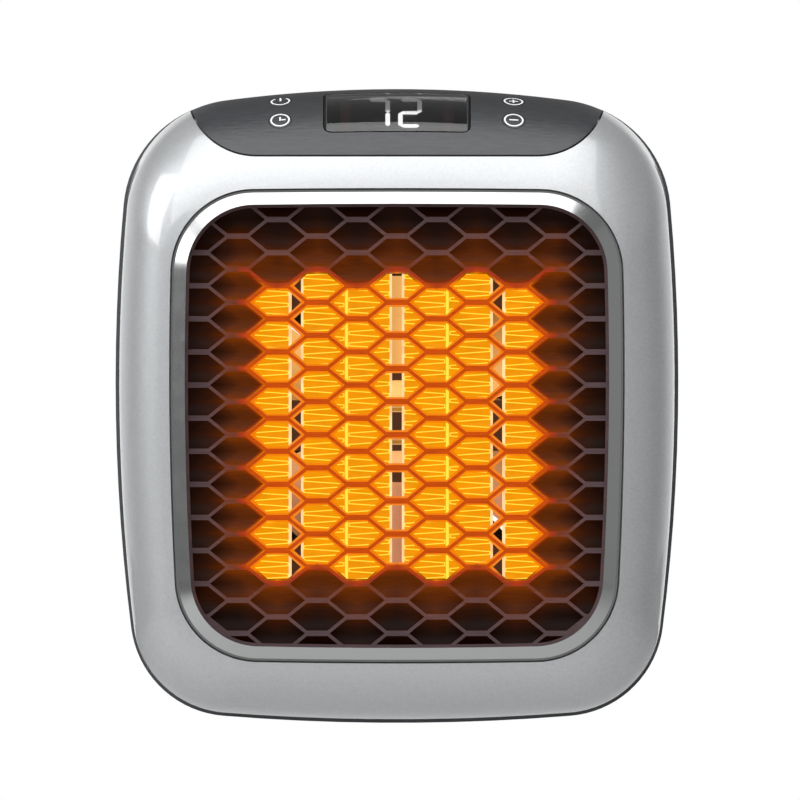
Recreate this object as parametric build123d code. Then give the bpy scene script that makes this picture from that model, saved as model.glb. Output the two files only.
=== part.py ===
from build123d import *
import math
import os

os.makedirs("parts", exist_ok=True)

# Plug-in fan heater for a wall outlet. All lengths are millimetres and all angles degrees.
# +Z is up, the front faces -Y, and y = 0 is the outlet face that the plug base rests on.

# Whole body
body_width = 138.0
body_height = 155.5
body_depth = 92.0
wall_gap = 9.0
crown_depth = 28.0
side_round = 15.0
bottom_round = 16.0
rear_round = 17.0
rear_draft = 2.5
shell_wall = 2.4
widest_height = -0.9
rim_step = 1.2
top_rim_step = 0.3
corner_top = 27.8
corner_bottom = 24.8
front_corner = 18.0
overrun = 4.0
crown_steps = 7
rear_steps = 4

# How far the bowed sides fall back at the unrounded corners, at the rim and at the front
rim_side_drop_top = 4.4
rim_side_drop_bottom = 6.7
rim_top_drop = 6.4
rim_bottom_drop = 3.7
front_side_drop_top = 1.2
front_side_drop_bottom = 2.6
front_top_drop = 1.0
front_bottom_drop = 1.0

# Chrome trim ring: the silver border left round it, and its own section
bezel_side = 14.1
bezel_top = 25.15
bezel_bottom = 15.55
ring_face = 3.4
ring_land = 0.5
ring_bevel_depth = 1.3
ring_proud = 0.5
ring_depth = 4.5
ring_corner = 20.0
ring_gap = 0.4
ring_side_drop_top = 0.9
ring_side_drop_bottom = 2.4
ring_top_drop = 0.5
ring_bottom_drop = 0.8

# Front grille of long hexagons
grille_thickness = 4.0
grille_gap = 0.3
grille_pitch_x = 19.4
grille_pitch_z = 8.06
grille_row_offset = 1.85
grille_flat = 4.9
grille_rib = 0.7
grille_root_rib = 2.0
grille_bond = 1.3
grille_root_bond = 2.2
dish_depth = 3.0
dish_radius = 4.5
least_opening_share = 0.08
ledge_thickness = 2.0
ledge_width = 2.6
pocket_wall = 2.0

# Control panel, display window and keys
panel_wall = 1.6
panel_foot_rise = 10.95
panel_foot_half_width = 34.2
panel_end_radius = 17.5
panel_end_height = 24.0
panel_gap = 0.45
panel_ledge_gap = 0.2
panel_ledge_wall = 1.5
panel_ledge_width = 2.6
control_tilt = 55.0
lens_half_width = 18.0
lens_low = -8.5
lens_high = 9.2
lens_corner = 2.0
lens_gap = 0.3
key_radius = 2.7
key_gap = 0.13
key_x = 28.5
key_low_angle = 47.0
key_high_angle = 67.0
key_flange_radius = 3.5
key_flange_level = 22.9
key_flange_thickness = 1.0
key_foot_radius = 1.5
key_foot_length = 0.5
key_travel = 0.5
key_stop_gap = 0.1
board_level = 17.2
board_thickness = 1.6
board_half_width = 40.0
board_low = -8.0
board_high = 9.0
board_post_x = 37.0
board_post_along = 2.0
board_post_radius = 2.3
board_hole_radius = 1.1
tact_size = 6.0
tact_height = 2.5
tact_stem_radius = 1.7
display_half_width = 14.0
display_low = -6.0
display_high = 11.2
display_level = 23.1
display_relief = 0.15
digit_centre_x = -0.7
digit_pitch = 7.8
digit_width = 5.8
digit_low = -1.8
digit_high = 10.8
digit_stroke = 1.1
digit_gap = 0.15
digit_thickness = 0.25
chip_size = 7.0
chip_thickness = 1.2
chip_x = 8.0
socket_length = 12.0
socket_depth = 4.5
socket_height = 5.5
socket_x = -16.0

# Heater core: strips with folded fins on both sides
core_side_gap = 14.1
core_top_gap = 15.6
core_bottom_gap = 15.4
core_front_gap = 1.5
core_depth = 14.0
strip_thickness = 1.0
strip_overhang = 2.2
air_gap = 2.4
plate_thickness = 0.6
fin_period = 2.8
fin_flat = 0.7
fin_thickness = 0.25
strip_count = 4
cap_height = 3.6
cap_side = 1.4
cap_setback = 0.8
holder_gap = 0.3
holder_plate_front = 86.0
holder_plate_thickness = 2.0
holder_wall = 2.0
holder_lip = 1.2
holder_lip_thickness = 1.0
holder_side_gap = 0.6
holder_over_top = 2.4
holder_over_bottom = 1.8
holder_corner = 18.0
ear_inset = 8.6
ear_high = 9.0
ear_low = -21.0
ear_radius = 3.4
tab_width = 6.3
tab_thickness = 0.8
tab_length = 9.0
heater_tab_width = 4.2
small_tab_width = 3.2
small_tab_length = 4.5
lead_radius = 0.4

# Screws
screw_radius = 1.45
screw_head_radius = 2.7
screw_head_height = 1.8
screw_bite = 7.0
screw_slot_width = 0.7
screw_slot_depth = 0.6
boss_radius = 3.2
boss_clearance = 0.35
pilot_gap = 0.05
small_screw_radius = 0.9
small_head_radius = 1.9
small_head_height = 1.2
small_bite = 4.0
housing_screw_inset = 10.0
housing_screw_from_top = 42.75
housing_screw_from_bottom = 31.75
screw_tube_radius = 4.6
screw_tube_bore = 3.1
screw_seat_thickness = 3.0

# Fan, motor and air duct
fan_tip_gap = 1.4
fan_hub_radius = 10.5
fan_hub_length = 14.0
fan_hub_wall = 1.6
fan_boss_radius = 3.9
fan_front_gap = 1.6
fan_blades = 6
fan_rest_angle = 23.0
blade_thickness = 1.5
blade_root_chord = 16.0
blade_tip_chord = 28.0
blade_root_angle = 52.0
blade_tip_angle = 27.0
duct_wall = 2.0
duct_plate_thickness = 2.4
duct_corner = 9.0
duct_edge = 8.7
duct_over_relay = 4.0
duct_over_fan = 11.4
duct_post_gap = 0.3
duct_post_beyond = 6.2
duct_margin_side = 4.5
duct_margin_high = 3.7
bridge_height = 12.4
motor_radius = 12.2
motor_length = 20.0
motor_wall = 1.0
motor_cap_length = 3.0
motor_cup_wall = 1.6
motor_cup_length = 9.0
motor_cup_gap = 0.1
motor_cup_lip = 1.2
motor_screw_spread = 7.0
motor_pilot_depth = 2.2
motor_boss_radius = 3.0
motor_boss_length = 0.8
shaft_radius = 1.15
shaft_gap = 0.05
magnet_thickness = 1.8
magnet_half_angle = 62.0
armature_radius = 8.2
armature_length = 11.0
armature_slots = 3
armature_slot_width = 2.4
armature_slot_depth = 4.5
commutator_radius = 2.6
commutator_length = 2.5
motor_tab_spread = 4.0
motor_tab_length = 4.8

# Rear housing
tongue_wall = 1.2
tongue_length = 2.0
tongue_gap = 0.15
intake_gap = 10.0
intake_margin = 6.0
intake_count = 30
intake_slot_width = 2.6
vent_count = 7
vent_pitch = 4.6
vent_height = 2.2
vent_length = 24.0
vent_low = -3.0
vent_rear = 25.0

# Plug, swivel and contacts
plug_head_radius = 20.0
plug_head_gap = 0.3
plug_head_edge = 1.5
plug_neck_radius = 13.0
swivel_gap = 0.08
collar_radius = 17.0
collar_length = 5.8
collar_end_gap = 0.2
retainer_radius = 17.5
retainer_thickness = 2.4
stop_height = 2.2
stop_half_angle = 80.0
lug_half_angle = 9.0
lug_gap = 0.3
lug_height = 3.6
retainer_screw_ring = 10.4
retainer_screw_count = 3
blade_spacing = 12.7
blade_metal = 1.5
live_blade_width = 6.35
neutral_blade_width = 7.9
blade_reach = 17.0
blade_nose = 1.6
blade_hole_radius = 1.6
blade_hole_setback = 4.2
track_thickness = 0.8
inner_track_inner = 3.4
inner_track_outer = 5.2
outer_track_inner = 13.6
outer_track_outer = 15.8
track_tab_width = 3.0
wiper_level = 2.6
wiper_thickness = 0.4
wiper_width = 3.0
wiper_gap = 0.05
wiper_bar_thickness = 2.4
wiper_bar_half_length = 28.0
wiper_bar_width = 13.0
wiper_post_x = 25.0
wiper_leaf_end = 18.8
wiper_post_radius = 2.8

# Rocker switch in the right side
switch_height = -22.0
switch_depth = 33.0
switch_seat_inset = 5.6
switch_body_width = 12.6
switch_body_height = 18.9
switch_body_depth = 12.0
switch_wall = 0.8
switch_end_wall = 0.4
switch_tab_spread = 4.7
switch_flange_width = 15.0
switch_flange_height = 21.0
switch_flange_thickness = 1.6
switch_pocket_gap = 0.4
switch_cut_gap = 0.1
switch_backing = 2.0
rocker_half_length = 8.0
rocker_width = 10.4
rocker_rise = 1.7
rocker_drum_radius = 4.2
rocker_swing = 8.0
rocker_pivot_depth = 1.2
rocker_pin_radius = 1.2
rocker_pin_gap = 0.05
rocker_pin_length = 0.9

# Power board at the bottom
supply_rise = 12.75
supply_thickness = 1.6
supply_front = 68.0
supply_rear = 24.0
supply_half_width = 31.0
supply_post_inset = 4.0
supply_post_radius = 2.8
relay_length = 19.0
relay_width = 15.5
relay_height = 15.0
relay_x = -17.0
relay_y = -54.0
film_cap_length = 17.5
film_cap_width = 8.5
film_cap_height = 14.5
film_cap_x = 8.0
film_cap_y = -60.0
coil_radius = 5.5
coil_height = 11.0
coil_neck_radius = 4.2
coil_flange = 1.2
coil_x = 23.0
coil_y = -52.0
varistor_radius = 5.0
varistor_thickness = 3.6
varistor_x = 8.0
varistor_y = -47.0
varistor_stand = 1.5
varistor_lead_spread = 2.5
fuse_radius = 2.6
fuse_length = 14.0
fuse_cap_length = 3.0
fuse_cap_wall = 0.4
fuse_x = -16.0
fuse_y = -38.0
terminal_length = 20.0
terminal_width = 8.0
terminal_height = 10.0
terminal_x = 12.0
terminal_y = -34.0
terminal_ways = 4
terminal_hole_radius = 1.4
terminal_hole_depth = 5.0

# Sensors
thermostat_radius = 5.2
thermostat_height = 5.5
thermostat_flange = 0.8
thermostat_cap_radius = 4.4
thermostat_x = 20.0
thermostat_drop = 5.8
thermostat_tab_spread = 3.0
fuse_link_radius = 2.0
fuse_link_length = 11.0
fuse_link_x = -20.0
fuse_link_drop = 7.0
fuse_link_saddle = 1.4
fuse_saddle_length = 5.5
fuse_lead_length = 4.0
sensor_radius = 1.6
sensor_length = 7.0
sensor_inset = 12.5
sensor_depth = 38.0
sensor_height = -16.0
sensor_post_width = 5.0
sensor_gap = 0.1

# Planes and places that follow from the sizes above
half_width = body_width / 2
half_height = body_height / 2
rear_y = -wall_gap
inner_rear_y = rear_y - shell_wall
front_y = rear_y - body_depth
parting_y = front_y + crown_depth
crown_centre_z = half_height - crown_depth
ring_half_width = half_width - bezel_side
ring_top = half_height - bezel_top
ring_bottom = bezel_bottom - half_height
ring_z = (ring_top + ring_bottom) / 2
ring_front = front_y - ring_proud
grille_front = ring_front + ring_depth
grille_back = grille_front + grille_thickness
ledge_back = grille_back + ledge_thickness
panel_foot = crown_centre_z + panel_foot_rise
core_front = grille_back + core_front_gap
core_back = core_front + core_depth
core_half_width = ring_half_width - ring_face - core_side_gap
core_high = ring_top - ring_face - core_top_gap
core_low = ring_bottom + ring_face + core_bottom_gap
core_z = (core_high + core_low) / 2
core_height = core_high - core_low
strip_pitch = (2 * core_half_width - strip_thickness) / (strip_count - 1)
fin_width = strip_pitch / 2 - air_gap / 2 - plate_thickness - strip_thickness / 2
housing_screw_x = half_width - housing_screw_inset
housing_screw_high = half_height - housing_screw_from_top
housing_screw_low = housing_screw_from_bottom - half_height
ear_x = half_width - ear_inset
holder_half_width = housing_screw_x - boss_radius - holder_side_gap
holder_top = ring_top + holder_over_top
holder_bottom = ring_bottom - holder_over_bottom
holder_front = -holder_plate_front
holder_back = holder_front + holder_plate_thickness
holder_rear = core_back + holder_lip_thickness
core_box_half = core_half_width + cap_side + holder_gap
duct_post_x = core_box_half + holder_wall + boss_radius + duct_post_gap
duct_post_rise = core_height / 2 + duct_post_beyond
duct_half_width = duct_post_x + duct_margin_side
duct_top = core_z + duct_post_rise + duct_margin_high
duct_bottom = core_z - duct_post_rise - duct_margin_high
fan_height = ring_z
supply_top = supply_rise - half_height
fan_room_beside = duct_half_width - duct_edge
fan_room_below = fan_height - supply_top - relay_height - duct_over_relay
fan_radius = min(fan_room_beside, fan_room_below) - duct_wall - fan_tip_gap
duct_front = holder_rear
duct_back = duct_front + duct_plate_thickness
motor_front = duct_back
motor_cap_back = motor_front + motor_cap_length
motor_back = motor_cap_back + motor_length
hub_front = motor_back + fan_front_gap
hub_back = hub_front + fan_hub_length
duct_end = hub_front + duct_over_fan
intake_inner = plug_head_radius + intake_gap
intake_outer = half_width - rear_draft - rear_round - intake_margin
retainer_back = rear_y - collar_length - collar_end_gap
retainer_front = retainer_back - retainer_thickness
track_front = retainer_front - track_thickness
wiper_bar_back = track_front - wiper_level
wiper_back = wiper_bar_back + wiper_thickness
switch_seat_x = half_width - switch_seat_inset
switch_y = parting_y + switch_depth
rocker_pivot_x = switch_seat_x - rocker_pivot_depth
sensor_x = sensor_inset - half_width
sensor_y = parting_y + sensor_depth
thermostat_z = holder_top - thermostat_drop
fuse_link_z = holder_top - fuse_link_drop
fuse_link_y = holder_back + fuse_link_saddle + fuse_link_radius


def write(name, *pieces):
    """Write one node, of one solid or a group of separate solids, to parts/name.step."""
    solids = [solid for piece in pieces for solid in piece.solids()]
    shape = solids[0] if len(solids) == 1 else Compound(children=solids)
    shape.label = name
    export_step(shape, f"parts/{name}.step")


def block(xs, ys, zs):
    """Box between two X, two Y and two Z limits."""
    low = [min(pair) for pair in (xs, ys, zs)]
    high = [max(pair) for pair in (xs, ys, zs)]
    middle = [(a + b) / 2 for a, b in zip(low, high)]
    return Pos(*middle) * Box(*[b - a for a, b in zip(low, high)])


def rod(radius, x, z, front, back):
    """Cylinder along Y."""
    return Pos(x, (front + back) / 2, z) * Rot(90, 0, 0) * Cylinder(radius, back - front)


def upright(radius, x, y, low, high):
    """Cylinder along Z."""
    return Pos(x, y, (low + high) / 2) * Cylinder(radius, high - low)


def slab(face, front, back):
    """Extrude an outline drawn in X and Z from one depth to another."""
    start = Plane(origin=(0, front, 0), x_dir=(1, 0, 0), z_dir=(0, -1, 0))
    return extrude(start * face, back - front, dir=(0, 1, 0))


def at_depth(face, y):
    """Outline drawn in X and Z, stood up at one depth."""
    return Plane(origin=(0, y, 0), x_dir=(1, 0, 0), z_dir=(0, -1, 0)) * face


def polar(radius, angle):
    """X and Z of a point, with the angle measured from +Z towards +X."""
    return radius * math.sin(math.radians(angle)), radius * math.cos(math.radians(angle))


def bowed_face(half, top, bottom, middle, drops, top_corner, bottom_corner):
    """Rounded rectangle whose four sides bow outwards."""
    side_top, side_bottom, top_drop, bottom_drop = drops
    right_top = (half - side_top, top - top_drop)
    left_top = (-half + side_top, top - top_drop)
    right_bottom = (half - side_bottom, bottom + bottom_drop)
    left_bottom = (-half + side_bottom, bottom + bottom_drop)
    edges = [
        ThreePointArc(left_top, (0, top), right_top),
        ThreePointArc(right_top, (half, middle), right_bottom),
        ThreePointArc(right_bottom, (0, bottom), left_bottom),
        ThreePointArc(left_bottom, (-half, middle), left_top),
    ]
    face = make_face(Curve() + edges)
    face = fillet(face.vertices().sort_by(Axis.Y)[2:], top_corner)
    return fillet(face.vertices().sort_by(Axis.Y)[:2], bottom_corner)


def blend(start, end, share):
    """Value part of the way from start to end."""
    return start + (end - start) * share


def round_inset(radius, depth):
    """How far a quarter-round edge stands in at a depth behind its start."""
    left = max(0, 1 - depth / radius)
    return radius * (1 - math.sqrt(1 - left ** 2))


def crown_face(depth, skin):
    """Outline of the crown, moved in by skin, at a depth behind the front."""
    top_radius = crown_depth - skin
    local = depth - skin
    top_in = skin + round_inset(top_radius, local)
    side_in = skin + round_inset(side_round - skin, local)
    bottom_in = skin + round_inset(bottom_round - skin, local)
    share = 1 - (top_in - skin) / top_radius
    drops = (
        blend(front_side_drop_top, rim_side_drop_top, share),
        blend(front_side_drop_bottom, rim_side_drop_bottom, share),
        blend(front_top_drop, rim_top_drop, share),
        blend(front_bottom_drop, rim_bottom_drop, share),
    )
    return bowed_face(
        half_width - rim_step - side_in,
        half_height - top_in,
        -half_height + rim_step + bottom_in,
        widest_height,
        drops,
        blend(front_corner, corner_top, share) - skin,
        blend(front_corner, corner_bottom, share) - skin,
    )


def crown(skin):
    """The front crown as a solid, moved in by skin all over."""
    faces = []
    for step in range(crown_steps + 1):
        angle = math.radians(90 * step / crown_steps)
        depth = skin + (crown_depth - skin) * (1 - math.cos(angle))
        faces.append(at_depth(crown_face(depth, skin), front_y + depth))
    return loft(faces)


def rear_face(inset):
    """Outline of the rear housing, moved in by inset."""
    return bowed_face(
        half_width - inset,
        half_height - top_rim_step - inset,
        -half_height + inset,
        widest_height,
        (rim_side_drop_top, rim_side_drop_bottom, rim_top_drop, rim_bottom_drop),
        corner_top - inset / 2,
        corner_bottom - inset / 2,
    )


def rear_body(skin):
    """The rear housing as a solid, moved in by skin all over but at its open rim."""
    turn = rear_y - rear_round
    straight = loft(
        [at_depth(rear_face(skin), parting_y), at_depth(rear_face(skin + rear_draft), turn)],
        ruled=True,
    )
    faces = []
    for step in range(rear_steps + 1):
        angle = math.radians(90 * step / rear_steps)
        radius = rear_round - skin
        inset = skin + rear_draft + radius * (1 - math.cos(angle))
        faces.append(at_depth(rear_face(inset), turn + radius * math.sin(angle)))
    return straight + loft(faces)


def window_face(inset):
    """Outline of the trim ring, moved in by inset."""
    return bowed_face(
        ring_half_width - inset,
        ring_top - inset,
        ring_bottom + inset,
        ring_z,
        (ring_side_drop_top, ring_side_drop_bottom, ring_top_drop, ring_bottom_drop),
        ring_corner - inset,
        ring_corner - inset,
    )


def panel_face(inset):
    """Front outline of the control panel: flat foot, ends that sweep up and out."""
    foot = panel_foot + inset
    half = panel_foot_half_width
    radius = panel_end_radius - inset
    end = (half + radius, foot + radius)
    turn = math.sqrt(1 / 2)
    middle = (half + radius * turn, foot + radius - radius * turn)
    high = foot + radius + panel_end_height
    edges = [
        Line((-half, foot), (half, foot)),
        ThreePointArc((half, foot), middle, end),
        Line(end, (end[0], high)),
        Line((end[0], high), (-end[0], high)),
        Line((-end[0], high), (-end[0], end[1])),
        ThreePointArc((-end[0], end[1]), (-middle[0], middle[1]), (-half, foot)),
    ]
    return make_face(Curve() + edges)


def control_plane():
    """Frame of the tilted board: X across, Y up the slope, Z out through the panel."""
    tilt = math.radians(control_tilt)
    return Plane(
        origin=(0, parting_y, crown_centre_z),
        x_dir=(1, 0, 0),
        z_dir=(0, -math.cos(tilt), math.sin(tilt)),
    )


def control_block(xs, alongs, levels):
    """Box in the board's frame."""
    return control_plane() * block(xs, alongs, levels)


def control_rod(radius, x, along, low, high):
    """Cylinder along the board's normal."""
    return control_plane() * upright(radius, x, along, low, high)


def key_along(angle):
    """How far up the slope a key on the panel's arc stands."""
    return crown_depth * math.sin(math.radians(angle - control_tilt))


def sector(inner, outer, middle_angle, half_angle, front, back):
    """Part of a ring between two radii, centred on an angle from +Z."""
    reach = 2 * outer
    count = math.ceil(half_angle / 45) * 2
    points = [(0, 0)]
    for index in range(count + 1):
        points.append(polar(reach, middle_angle - half_angle + 2 * half_angle * index / count))
    wedge = slab(make_face(Polyline(*points, close=True)), front, back)
    ring = rod(outer, 0, 0, front, back) - rod(inner, 0, 0, front - overrun, back + overrun)
    return ring & wedge


def screw(radius, head_radius, head_height, x, z, head_front, bite):
    """Pan screw along Y, driven from behind, with a cross recess in its head."""
    head_back = head_front + head_height
    body = rod(head_radius, x, z, head_front, head_back)
    body += rod(radius, x, z, head_front - bite, head_front)
    half = screw_slot_width / 2
    recess = (head_back - screw_slot_depth, head_back + overrun)
    for wide, tall in ((head_radius, half), (half, head_radius)):
        body -= block((x - wide, x + wide), recess, (z - tall, z + tall))
    return body


def small_screw(x, z, head_front, bite):
    """Pan screw of the small size."""
    return screw(small_screw_radius, small_head_radius, small_head_height, x, z, head_front, bite)


def centred(middle, size):
    """Two limits of a stretch about its middle."""
    return middle - size / 2, middle + size / 2


crown_solid = crown(0)
crown_inside = crown(shell_wall)
rear_solid = rear_body(0)
rear_inside = rear_body(shell_wall)
housing_screws_at = [
    (side * housing_screw_x, z) for side in (-1, 1) for z in (housing_screw_high, housing_screw_low)
]
ears_at = [(side * ear_x, z) for side in (-1, 1) for z in (ear_high, ear_low)]
duct_posts_at = [
    (side * duct_post_x, core_z + rise * duct_post_rise) for side in (-1, 1) for rise in (-1, 1)
]
supply_posts_at = [
    (side * (supply_half_width - supply_post_inset), y)
    for side in (-1, 1)
    for y in (-supply_front + supply_post_inset, -supply_rear - supply_post_inset)
]


def panel_rest():
    """Band under the panel's edge that the panel lies on."""
    skin = panel_wall + panel_ledge_gap
    rest = crown(skin) - crown(skin + panel_ledge_wall)
    band = slab(panel_face(-shell_wall), front_y, parting_y)
    band -= slab(panel_face(panel_ledge_width), front_y - overrun, parting_y + overrun)
    return rest & band


def front_bezel():
    """Silver front shell with the ring's pocket, the grille's ledge and its screw bosses."""
    tube = slab(window_face(-ring_gap - pocket_wall), front_y, ledge_back)
    bosses = [rod(boss_radius, x, z, front_y, parting_y) for x, z in housing_screws_at]
    bosses += [rod(boss_radius, x, z, front_y, holder_front) for x, z in ears_at]
    shell = (crown_solid - crown_inside) + ((tube + bosses) & crown_solid)
    shell -= slab(panel_face(0), front_y - overrun, parting_y + overrun)
    shell += panel_rest()
    shell -= slab(window_face(-ring_gap), front_y - overrun, grille_back)
    shell -= slab(window_face(ledge_width), front_y, ledge_back + overrun)
    pilot = screw_radius + pilot_gap
    for x, z in housing_screws_at:
        shell -= rod(pilot, x, z, parting_y - screw_bite - overrun, parting_y + overrun)
    pilot = small_screw_radius + pilot_gap
    for x, z in ears_at:
        shell -= rod(pilot, x, z, holder_front - small_bite - boss_clearance, holder_front + overrun)
    return shell


def trim_ring():
    """Polished ring whose face slopes in to the window."""
    ring = slab(window_face(0), ring_front, grille_front)
    ring -= slab(window_face(ring_face), ring_front - overrun, grille_front + overrun)
    slope = loft(
        [
            at_depth(window_face(ring_land), ring_front),
            at_depth(window_face(ring_face), ring_front + ring_bevel_depth),
        ],
        ruled=True,
    )
    return ring - slope


def hexagon(rib, bond):
    """Long hexagonal opening left between ribs and bonds of the given widths."""
    run = grille_pitch_x / 2 - grille_flat
    slope = math.hypot(run, grille_pitch_z / 2)
    half_flat = grille_flat / 2
    high = (grille_pitch_z - bond) / 2
    tip = half_flat + (grille_pitch_x / 2 - grille_flat) - rib * slope / grille_pitch_z
    corner = half_flat - (rib - bond) / grille_pitch_z
    points = [(tip, 0), (corner, high), (-corner, high), (-tip, 0), (-corner, -high), (corner, -high)]
    return make_face(Polyline(*points, close=True))


def over_core(x, z):
    """Whether a whole cell of the grille lies in front of the core."""
    wide = (grille_pitch_x - grille_flat) / 2
    tall = grille_pitch_z / 2 - grille_bond
    return abs(x) + wide < core_half_width and core_low + tall < z < core_high - tall


def front_grille():
    """Flat plate: open cells that narrow towards the back before the core, dished blind ones round them."""
    front = hexagon(grille_rib, grille_bond)
    back = hexagon(grille_root_rib, grille_root_bond)
    opening = loft([at_depth(front, grille_front), at_depth(back, grille_back)], ruled=True)
    prism = slab(front, grille_front, grille_back)
    trough = Rot(0, 90, 0) * Cylinder(dish_radius, grille_pitch_x)
    trough = Pos(0, grille_front + dish_depth - dish_radius, 0) * trough
    window = slab(window_face(ring_face + grille_rib), grille_front, grille_back)
    columns = math.ceil(2 * ring_half_width / grille_pitch_x)
    rows = math.ceil((ring_top - ring_bottom) / grille_pitch_z / 2)
    least = least_opening_share * prism.volume
    cutters = []
    for column in range(-columns, columns + 1):
        shift = grille_pitch_z / 2 if column % 2 else 0
        for row in range(-rows, rows + 1):
            x = column * grille_pitch_x / 2
            z = ring_z + grille_row_offset + shift + row * grille_pitch_z
            if over_core(x, z):
                cutters.append(Pos(x, 0, z) * opening)
                continue
            kept = (Pos(x, 0, z) * prism) & window
            if kept and kept.volume > least:
                cutters.append(kept & (Pos(x, 0, z) * trough))
    return slab(window_face(grille_gap), grille_front, grille_back) - cutters


def lens_outline(gap):
    """Rounded display window in the board's frame."""
    tall = lens_high - lens_low - 2 * gap
    wide = 2 * (lens_half_width - gap)
    return Pos(0, (lens_high + lens_low) / 2) * RectangleRounded(wide, tall, lens_corner - gap)


def through_panel(face):
    """Prism of a face in the board's frame, out through the panel."""
    return extrude(control_plane() * Pos(0, 0, board_level) * face, crown_depth)


panel_skin = (crown_solid - crown(panel_wall)) & slab(panel_face(panel_gap), front_y, parting_y)
keys = {
    "power_key": (-key_x, key_high_angle),
    "timer_key": (-key_x, key_low_angle),
    "plus_key": (key_x, key_high_angle),
    "minus_key": (key_x, key_low_angle),
}
board_posts_at = [(-board_post_x, board_post_along), (board_post_x, board_post_along)]
board_back = board_level - board_thickness


def control_panel():
    """Black top cover with the display window, four key holes and two board posts."""
    panel = panel_skin
    for x, along in board_posts_at:
        panel += control_rod(board_post_radius, x, along, board_level, crown_depth) & crown_solid
        panel -= control_rod(
            small_screw_radius + pilot_gap, x, along, board_level - overrun, board_level + small_bite
        )
    panel -= through_panel(lens_outline(0))
    bore = key_radius + key_gap
    for x, angle in keys.values():
        panel -= control_rod(bore, x, key_along(angle), key_flange_level, crown_depth + overrun)
    return panel


def display_lens():
    """Smoked window, flush with the panel."""
    return panel_skin & through_panel(lens_outline(lens_gap))


def key(x, angle):
    """Round key with a flange under the panel and a foot over its switch."""
    along = key_along(angle)
    flange_foot = key_flange_level - key_flange_thickness
    cap = control_rod(key_radius, x, along, flange_foot, crown_depth + overrun) & crown_solid
    flange = control_rod(key_flange_radius, x, along, flange_foot, key_flange_level - key_stop_gap)
    foot = control_rod(key_foot_radius, x, along, flange_foot - key_foot_length, flange_foot)
    return cap + flange + foot


def control_board():
    """Circuit board behind the panel, with its two screw holes."""
    board = control_block(
        (-board_half_width, board_half_width), (board_low, board_high), (board_back, board_level)
    )
    for x, along in board_posts_at:
        board -= control_rod(board_hole_radius, x, along, board_level - overrun, board_level + overrun)
    return board


def board_screw(x, along):
    """Small screw through the board into a post of the panel."""
    shank = control_rod(small_screw_radius, x, along, board_back, board_back + small_bite)
    return shank + control_rod(small_head_radius, x, along, board_back - small_head_height, board_back)


def key_switch(x, angle):
    """Square press switch with its round stem."""
    along = key_along(angle)
    top = board_level + tact_height
    body = control_block(centred(x, tact_size), centred(along, tact_size), (board_level, top))
    stem_top = key_flange_level - key_flange_thickness - key_foot_length - key_travel - key_stop_gap
    return body + control_rod(tact_stem_radius, x, along, board_level, stem_top)


def display_module():
    """Two-digit display block, its top edge shaped to the panel's curve."""
    body = control_block(
        (-display_half_width, display_half_width), (display_low, display_high), (board_level, display_level)
    )
    return body & crown(panel_wall + display_relief)


def bar(x, along, length, turned):
    """One pointed segment of a digit."""
    half, tip = length / 2 - digit_stroke / 2, length / 2
    side = digit_stroke / 2
    points = [(tip, 0), (half, side), (-half, side), (-tip, 0), (-half, -side), (half, -side)]
    if turned:
        points = [(b, a) for a, b in points]
    face = Pos(x, along) * make_face(Polyline(*points, close=True))
    return extrude(control_plane() * Pos(0, 0, display_level) * face, digit_thickness)


def digit_bars(x):
    """The seven segments of one digit, by their usual letters."""
    middle = (digit_low + digit_high) / 2
    rise = (digit_high - digit_low - digit_stroke) / 2
    side = (digit_width - digit_stroke) / 2
    flat = digit_width - digit_stroke - 2 * digit_gap
    tall = rise - 2 * digit_gap
    return {
        "a": bar(x, middle + rise, flat, False),
        "b": bar(x + side, middle + rise / 2, tall, True),
        "c": bar(x + side, middle - rise / 2, tall, True),
        "d": bar(x, middle - rise, flat, False),
        "e": bar(x - side, middle - rise / 2, tall, True),
        "f": bar(x - side, middle + rise / 2, tall, True),
        "g": bar(x, middle, flat, False),
    }


def display_segments():
    """Lit and unlit segments for the reading 72."""
    lit, dark = [], []
    for side, letters in ((-1, "abc"), (1, "abged")):
        bars = digit_bars(digit_centre_x + side * digit_pitch / 2)
        lit += [bars[letter] for letter in bars if letter in letters]
        dark += [bars[letter] for letter in bars if letter not in letters]
    return lit, dark


def under_board(x, length, width, height):
    """Box component on the back of the control board."""
    return control_block(centred(x, length), centred(0, width), (board_back - height, board_back))


def strip_places():
    """X of each heating strip."""
    return [(index - (strip_count - 1) / 2) * strip_pitch for index in range(strip_count)]


def stack_places():
    """Strip side and plate side of each fin stack, in X."""
    places = []
    for index, x in enumerate(strip_places()):
        for side in (-1, 1):
            outermost = (index == 0 and side < 0) or (index == strip_count - 1 and side > 0)
            if not outermost:
                near = x + side * strip_thickness / 2
                places.append((near, near + side * fin_width, side))
    return places


def folded_fin(near, far):
    """Aluminium ribbon folded to and fro between a strip and a plate."""
    left = min(near, far) + fin_thickness / 2
    right = max(near, far) - fin_thickness / 2
    folds = round(core_height / fin_period)
    period = core_height / folds
    start = core_low + (period / 2 - fin_flat) / 2
    points = []
    for fold in range(folds):
        z = start + fold * period
        points += [(left, z), (left, z + fin_flat)]
        points += [(right, z + period / 2), (right, z + period / 2 + fin_flat)]
    return slab(trace(Polyline(*points), line_width=fin_thickness), core_front, core_back)


def fin_plate(far, side):
    """Flat plate that closes a fin stack on its open side."""
    return block((far, far + side * plate_thickness), (core_front, core_back), (core_low, core_high))


def heating_strip(x):
    """Strip of heating stones between two electrodes."""
    ends = (core_low - strip_overhang, core_high + strip_overhang)
    return block(centred(x, strip_thickness), (core_front, core_back), ends)


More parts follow.
